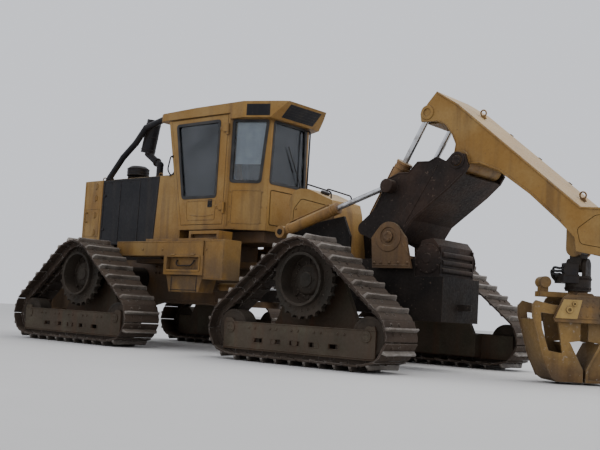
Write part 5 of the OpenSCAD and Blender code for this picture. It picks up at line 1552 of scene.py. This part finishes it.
# Blade: bolted cutting edge, and ribs and bars on its back
def bladeShapes(values):
    x, z, y = values["x"], values["low"], values["half"]
    edge = [(x + 120, z), (x + 162, z), (x + 162, z + 24), (x + 150, z + 120), (x + 132, z + 120)]
    spots = [(x + 148, py, z + 88) for py in np.linspace(-y + 80, y - 80, values["bolts"])]
    shapes = [slab(edge, "xz", -y, y), bolts(spots, 13, (1, 0, 0.3))]
    rib = [(x - 34, z + 60), (x + 4, z + 40), (x + 4, z + 560), (x - 20, z + 520)]
    shapes += [slab(rib, "xz", py - 12, py + 12) for py in values["ribs"]]
    for bar in values["bars"]:
        shapes.append(block((x - 26, -y + 20, z + bar), (x + 2, y - 20, z + bar + 20)))
    return shapes


# Front frame: weld beads, bolts and a pin cap on each side
def frameShapes(values):
    y = values["face"]
    lines = [[(x0, y + 1, z), (x1, y + 1, z)] for x0, x1 in values["spans"] for z in values["seams"]]
    shapes = [pipe(line, 8, 6) for line in lines]
    shapes.append(bolts([(x, y, z) for x in values["boltX"] for z in values["boltZ"]], 16))
    return shapes + pinCap(*values["pin"], values["pinFace"], 48, 4)


def makeFrontEnd():
    piece("blade_fittings", bladeShapes(blade), "blade", oldPaint, 2.0)
    piece("front_frame_fittings", bothSides(frameShapes(chassis)), "front_frame", oldPaint, 1.5)


makeFrontEnd()
print("front end made")

# Studio: pale floor, even sky and two soft lamps
studio = {
    "place": (-8.32, 9.041, 0.555),   # camera from the machine's middle, in metres
    "yaw": 0.705, "pitch": 0.097, "roll": 0.057, "lens": 54.55,
    "sky": colour(0.84, 0.86, 0.92), "skyPower": 1.05,
    # each lamp's place, aim and size in metres, and its power in watts
    "top lamp": ((-5, -3, 11), (0, 0, 1), 9.0, 700.0),
    "side lamp": ((-9, 10, 5), (0, 0, 1.5), 6.0, 60.0),
}


# Camera looking along its yaw and pitch; roll turns the right and up arms in the picture plane
def makeCamera(values):
    camera = bpy.data.objects.new("camera", bpy.data.cameras.new("camera"))
    bpy.context.scene.collection.objects.link(camera)
    camera.data.lens = values["lens"]
    camera.data.sensor_width = 36.0
    yaw, pitch, roll = values["yaw"], values["pitch"], values["roll"]
    ahead = Vector((math.sin(yaw) * math.cos(pitch), -math.cos(yaw) * math.cos(pitch), math.sin(pitch)))
    right = ahead.cross(Vector((0, 0, 1))).normalized()
    up = right.cross(ahead)
    turnedRight = right * math.cos(roll) + up * math.sin(roll)
    turnedUp = up * math.cos(roll) - right * math.sin(roll)
    turn = Matrix((turnedRight, turnedUp, -ahead)).transposed()
    camera.matrix_world = Matrix.Translation(Vector(values["place"]) + Vector((midX, 0, 0))) @ turn.to_4x4()
    bpy.context.scene.camera = camera


def areaLamp(name, place, aim, size, power):
    lamp = bpy.data.objects.new(name, bpy.data.lights.new(name, "AREA"))
    bpy.context.scene.collection.objects.link(lamp)
    lamp.data.size = size
    lamp.data.energy = power
    lamp.location = place
    lamp.rotation_euler = (Vector(aim) - Vector(place)).to_track_quat("-Z", "Y").to_euler()


def makeFloor():
    mesh = bpy.data.meshes.new("floor")
    mesh.from_pydata([(-60, -60, 0), (60, -60, 0), (60, 60, 0), (-60, 60, 0)], [], [(0, 1, 2, 3)])
    floor = bpy.data.objects.new("floor", mesh)
    bpy.context.scene.collection.objects.link(floor)
    material, tree, shader = blankMaterial("pale floor")
    place = addNode(tree, "ShaderNodeTexCoord", {}).outputs["Object"]
    tint = mixed(tree, noise(tree, place, 0.6), colour(0.60, 0.59, 0.57), colour(0.66, 0.65, 0.63))
    tree.links.new(tint, shader.inputs["Base Color"])
    shader.inputs["Roughness"].default_value = 0.9
    mesh.materials.append(material)


makeCamera(studio)
world = bpy.data.worlds.new("sky")
world.use_nodes = True
world.node_tree.nodes["Background"].inputs[0].default_value = studio["sky"]
world.node_tree.nodes["Background"].inputs[1].default_value = studio["skyPower"]
bpy.context.scene.world = world
for name in ("top lamp", "side lamp"):
    areaLamp(name, *studio[name])
makeFloor()
print("studio made")
